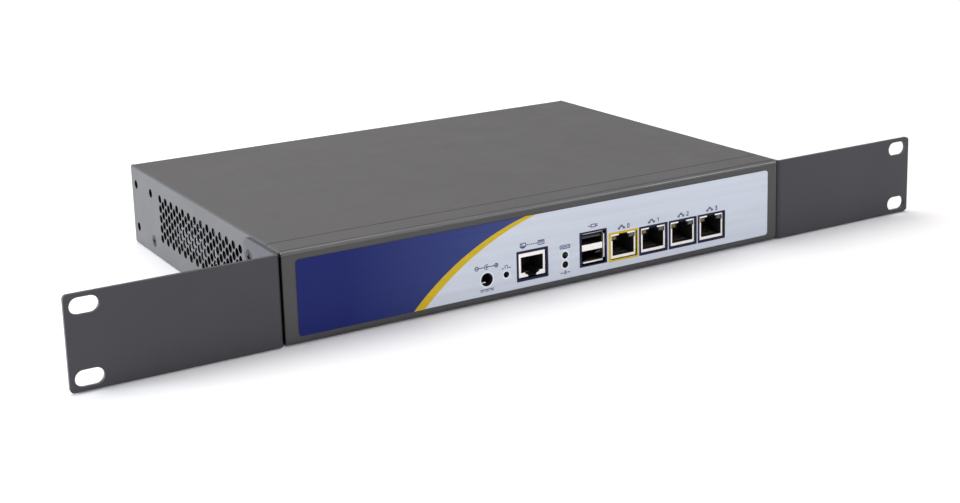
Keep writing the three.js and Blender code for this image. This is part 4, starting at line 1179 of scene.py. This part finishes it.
def header(x0, y0, z0, x1, y1, z1):
    """A shrouded connector with two rows of pins."""
    wall = 0.9
    well = rounded(x0 + wall, x1 - wall, y0 + wall, y1 - wall, 0.2)
    parts = [
        slab([rounded(x0, x1, y0, y1, 0.3), well], z0, z1, 0.12),
        block((x0 + 0.5, x1 - 0.5), (y0 + 0.5, y1 - 0.5), (z0, z0 + 1.5), 0),
    ]
    for x in row(2, 2.54, (x0 + x1) / 2):
        for y in row(8, 2.54, (y0 + y1) / 2):
            parts.append(block(about(x, 0.3), about(y, 0.3), (z0 + 1, z1 - 1), 0.1, 1, 1))
    return parts


def lamp_block(x0, y0, z0, x1, y1, z1):
    parts = [block((x0, x1), (y0 + 0.05, y1), (z0, z1), 0.45, 3)]
    parts += [block((x0, x1), (y0 + 1.5, y0 + 2.3), about(z, 1.9), 0.15) for z in LAMP_HEIGHTS]
    for k in range(4):
        z = z0 + 2 + k * 2
        parts.append(block((x0 + 0.6, x1 - 0.6), (y1 - 0.4, y1), (z, z + 0.8)))
    return parts


def drive_bracket(x0, y0, z0, x1, y1, z1):
    """A low table of folded sheet with slots in its deck, and an upright at its front corner."""
    left, deck = x0 + 2, 12.0
    slots = []
    for x in (left + 22, left + 52):
        for y in (y0 + 18, y0 + 42, y0 + 66):
            slots.append(rounded(*about(x, 2.5), y, y + 16, 2.4))
    leg_z = (z0, deck - 0.2)
    parts = [
        slab([rounded(left, x1, y0, y1, 0.5), *slots], deck - SHEET, deck, EDGE),
        block((left, left + SHEET), (y0, y1), leg_z, EDGE),
        block((x1 - SHEET, x1), (y0, y1), leg_z, EDGE),
        block((x0, left + SHEET), (y0, y0 + SHEET), (3, z1), EDGE),
        block((left, left + 9), (y0 + 0.2, y0 + SHEET), leg_z, EDGE),
    ]
    return parts


def solid_state_drive(x0, y0, z0, x1, y1, z1):
    """A thin metal case in two halves with a plain label and a connector block."""
    split, front = z0 + 4.6, y0 + 0.6
    halves = ((z0, split - 0.12), (split + 0.12, z1 - 0.15))
    parts = [block((x0, x1), (front, y1), zs, 0.35, 3) for zs in halves]
    parts += [
        block((x0 + 0.6, x1 - 0.6), (front + 0.6, y1 - 0.6), (z0 + 1, z1 - 1), 0),
        block((x0 + 6, x1 - 6), (y0 + 16, y1 - 10), (z1 - 0.2, z1), 0.04, 1, 1),
        block((x0 + 14, x0 + 56), (y0, y0 + 8), (z0 + 0.8, z0 + 4), 0.2, paint=2),
    ]
    return parts


def fitted(name, node, shape, looks):
    """A piece whose shape follows from its node's box."""
    low, high = box_mm(node)
    piece(name, shape(*low, *high), looks, node)


BOARD_LOOKS = "circuit_board chip button_plastic dull_steel aluminium"
fitted("main_board_assembly", "main_board", main_board, BOARD_LOOKS)
board_fixings()
fitted("processor_package", "processor", processor, "aluminium chip")
fitted("heat_sink_fins", "cpu_heatsink", heat_sink, "aluminium")
fitted("memory_slot", "memory_socket", memory_slot, "black_plastic")
fitted("memory_stick", "memory_module", memory_stick, "circuit_board chip contact_gold")
fitted("coin_cell", "clock_battery", battery, "plated_steel")
fitted("header_shroud", "board_header", header, "black_plastic contact_gold")
fitted("lamp_block", "lamp_holder", lamp_block, "black_plastic")
fitted("drive_table", "drive_bracket", drive_bracket, "plated_steel")
fitted("drive_case", "solid_state_drive", solid_state_drive, "aluminium label_film black_plastic")


# ---- fan

fan_low, fan_high = box_mm("fan_frame")
FAN_Y, FAN_Z = (fan_low.y + fan_high.y) / 2, (fan_low.z + fan_high.z) / 2
FAN_HALF = (fan_high.z - fan_low.z) / 2
FAN_BORE = 18.8
FAN_THICK = fan_high.x - fan_low.x
HUB, HUB_HALF = 9.2, 3.8
BLADES = 7


def fan_frame():
    """Two square flanges joined by a barrel, with three struts that carry the motor's plate."""
    square = rounded(-FAN_HALF, FAN_HALF, -FAN_HALF, FAN_HALF, 3)
    fixings = [circle(u, v, 1.65, 16) for u in (-16, 16) for v in (-16, 16)]
    loops = [square, circle(0, 0, FAN_BORE, 56), *fixings]
    flange = 2.2
    parts = [slab(loops, z, z + flange, 0.2, 2) for z in (0, FAN_THICK - flange)]
    outer = FAN_BORE + 1.1
    parts += [
        lathe([(FAN_BORE, 1), (outer, 1), (outer, FAN_THICK - 1), (FAN_BORE, FAN_THICK - 1)], 56),
        lathe([(1.4, 0), (9.2, 0), (9.5, 0.3), (9.5, 1.2), (1.4, 1.2)], 40),
    ]
    for k in range(3):
        strut = block((-1, 1), (9, FAN_BORE + 0.5), (0, 1.2), 0.2)
        parts.append(turned_to(strut, Matrix.Rotation(k * tau / 3, 3, "Z")))
    parts = [turned_to(part, FACING_RIGHT, (fan_low.x, FAN_Y, FAN_Z)) for part in parts]
    piece("fan_housing", parts, "black_plastic", "fan_frame")


def fan_blade(turn):
    """One curved, twisted blade: sections from hub to tip, each a thin lens."""
    section = ((-0.5, 0), (-0.2, 0.5), (0.2, 0.45), (0.5, 0), (0.2, -0.35), (-0.2, -0.35))
    rings = []
    stations = 6
    for k in range(stations):
        part = k / (stations - 1)
        radius = 8.8 + 9.3 * part
        pitch = radians(44 - 14 * part)
        chord = 7.2 + 1.4 * part
        ring = []
        for t, thick in section:
            along, camber = t * chord, 0.9 * (0.25 - t * t) + thick
            angle = turn + (along * cos(pitch) - camber * sin(pitch)) / radius
            axial = along * sin(pitch) + camber * cos(pitch)
            ring.append((radius * cos(angle), radius * sin(angle), axial))
        rings.append(ring)
    return skin(rings)


def fan_rotor():
    low, high = box_mm("fan_rotor")
    middle, half = high.x - HUB_HALF, HUB_HALF
    start, inset = low.x - middle, half - 0.25
    cup = [(HUB, -half), (HUB, half - 0.9), (8.3, half), (6.2, half), (6.2, inset)]
    hub = lathe([(0, -half), *cup, (0, inset)], 48)
    shaft = lathe([(0, start), (1, start), (1, -half + 0.5), (0, -half + 0.5)], 16)
    parts = [hub, shaft] + [fan_blade(k * tau / BLADES) for k in range(BLADES)]
    parts = [turned_to(part, FACING_RIGHT, (middle, FAN_Y, FAN_Z)) for part in parts]
    piece("fan_impeller", parts, "black_plastic", "fan_rotor")


fan_frame()
fan_rotor()


# ---- leads inside the case

# Routes: x, distance behind the front, z.
DATA_ROUTE = [(-98, 101.6, 16), (-98, 93, 16), (-88, 83, 14), (-72, 78, 12), (-60, 77, 11.5)]
DATA_ROUTE.append((-51.4, 77, 11.5))
POWER_ROUTE = [(-82, 101.6, 16), (-82, 97, 16), (-74, 92, 14), (-64, 90, 12), (-51.4, 90, 11.5)]
FAN_ROUTE = [(131.05, 96, 6), (126, 96, 6), (121, 98, 9.6), (112, 100, 10)]


def smooth_path(route, steps=5):
    """A curve through every point of a route."""
    spots = [Vector((x, FRONT + back, z)) for x, back, z in route]
    ends = [2 * spots[0] - spots[1], *spots, 2 * spots[-1] - spots[-2]]
    path = []
    for a, b, c, d in zip(ends, ends[1:], ends[2:], ends[3:]):
        square, cube = 2 * a - 5 * b + 4 * c - d, 3 * b - a - 3 * c + d
        for k in range(steps):
            t = k / steps
            path.append(0.5 * (2 * b + (c - a) * t + square * t**2 + cube * t**3))
    return path + [spots[-1]]


def lead(name, route, wires, width, thickness, look):
    """Several round-edged wires side by side in one flat ribbon."""
    path = smooth_path(route)
    section = circle(0, 0, 1, 10)
    half = width / wires / 2
    parts = []
    for across in row(wires, width / wires):
        rings = []
        for before, spot, after in zip(path[:1] + path, path, path[1:] + path[-1:]):
            along = (after - before).normalized()
            side = along.cross(Vector((0, 0, 1))).normalized()
            up = side.cross(along) * thickness / 2
            rings.append([spot + side * (across + u * half) + up * v for u, v in section])
        parts.append(skin(rings))
    piece(f"{name}_wires", parts, look, name)


lead("drive_data_lead", DATA_ROUTE, 3, 7, 1.6, "red_sheath")
lead("drive_power_lead", POWER_ROUTE, 4, 6, 1.6, "black_sheath")
lead("fan_lead", FAN_ROUTE, 2, 2.4, 1.4, "black_sheath")


# ---- camera, light, floor

CAMERA_AT = Vector((-397.251, -608.294 + FRONT, 240.480))
CAMERA_FORWARD = Vector((0.49347768, 0.84410124, -0.20969711))
CAMERA_UP = Vector((0.13106849, 0.16617377, 0.97734709))


def camera():
    data = bpy.data.cameras.new("camera")
    data.lens = 57.655
    data.sensor_width = 36
    data.shift_x = 0.0037
    data.shift_y = -0.13453
    data.clip_start = 0.01
    obj = linked("camera", data)
    back = -CAMERA_FORWARD.normalized()
    right = CAMERA_UP.cross(back).normalized()
    up = back.cross(right)
    obj.matrix_world = Matrix.Translation(CAMERA_AT * MM) @ Matrix((right, up, back)).transposed().to_4x4()
    bpy.context.scene.camera = obj


def soft_light(name, at, target, size, power, colour=(1, 1, 1)):
    data = bpy.data.lights.new(name, "AREA")
    data.shape = "RECTANGLE"
    data.size, data.size_y = size
    data.energy = power
    data.color = colour
    obj = linked(name, data)
    obj.location = at
    obj.rotation_euler = (Vector(at) - Vector(target)).to_track_quat("Z", "Y").to_euler()


# Name, place, target, size in metres, power, colour.
LIGHTS = [
    ("left_softbox", (-1.6, 0.40, 0.26), (0, 0.05, 0.02), (1.0, 0.45), 46.5, (0.835, 0.905, 1)),
    ("overhead_softbox", (-0.1, 0.7, 2.2), (0, 0, 0), (2.6, 2.6), 46.5, (1, 0.955, 0.932)),
    ("right_softbox", (1.5, -1.5, 1.3), (0, -0.1, 0.02), (0.7, 0.4), 13, (0.8, 0.87, 1)),
]
WORLD_LIGHT = 0.478
WORLD_COLOUR = (1, 0.983, 0.978, 1)
FLOOR_HALF = 6


def studio():
    scene = bpy.context.scene
    scene.view_settings.view_transform = "Standard"
    world = bpy.data.worlds.new("studio")
    world.use_nodes = True
    background = world.node_tree.nodes["Background"]
    background.inputs["Color"].default_value = WORLD_COLOUR
    background.inputs["Strength"].default_value = WORLD_LIGHT
    scene.world = world
    for settings in LIGHTS:
        soft_light(*settings)
    floor_mesh = bpy.data.meshes.new("floor")
    half = FLOOR_HALF
    corners = [(-half, -half, 0), (half, -half, 0), (half, half, 0), (-half, half, 0)]
    floor_mesh.from_pydata(corners, [], [(0, 1, 2, 3)])
    s = Shader("floor")
    grain = s.noise(3, 2.0)
    tone = s.mix(s.between(grain, 0, 1), (0.93, 0.93, 0.93, 1), (0.95, 0.95, 0.95, 1))
    floor_mesh.materials.append(s.feed(Base_Color=tone, Roughness=0.9, Specular_IOR_Level=0.1))
    floor = linked("floor", floor_mesh)
    floor.location.z = -0.0005


camera()
studio()
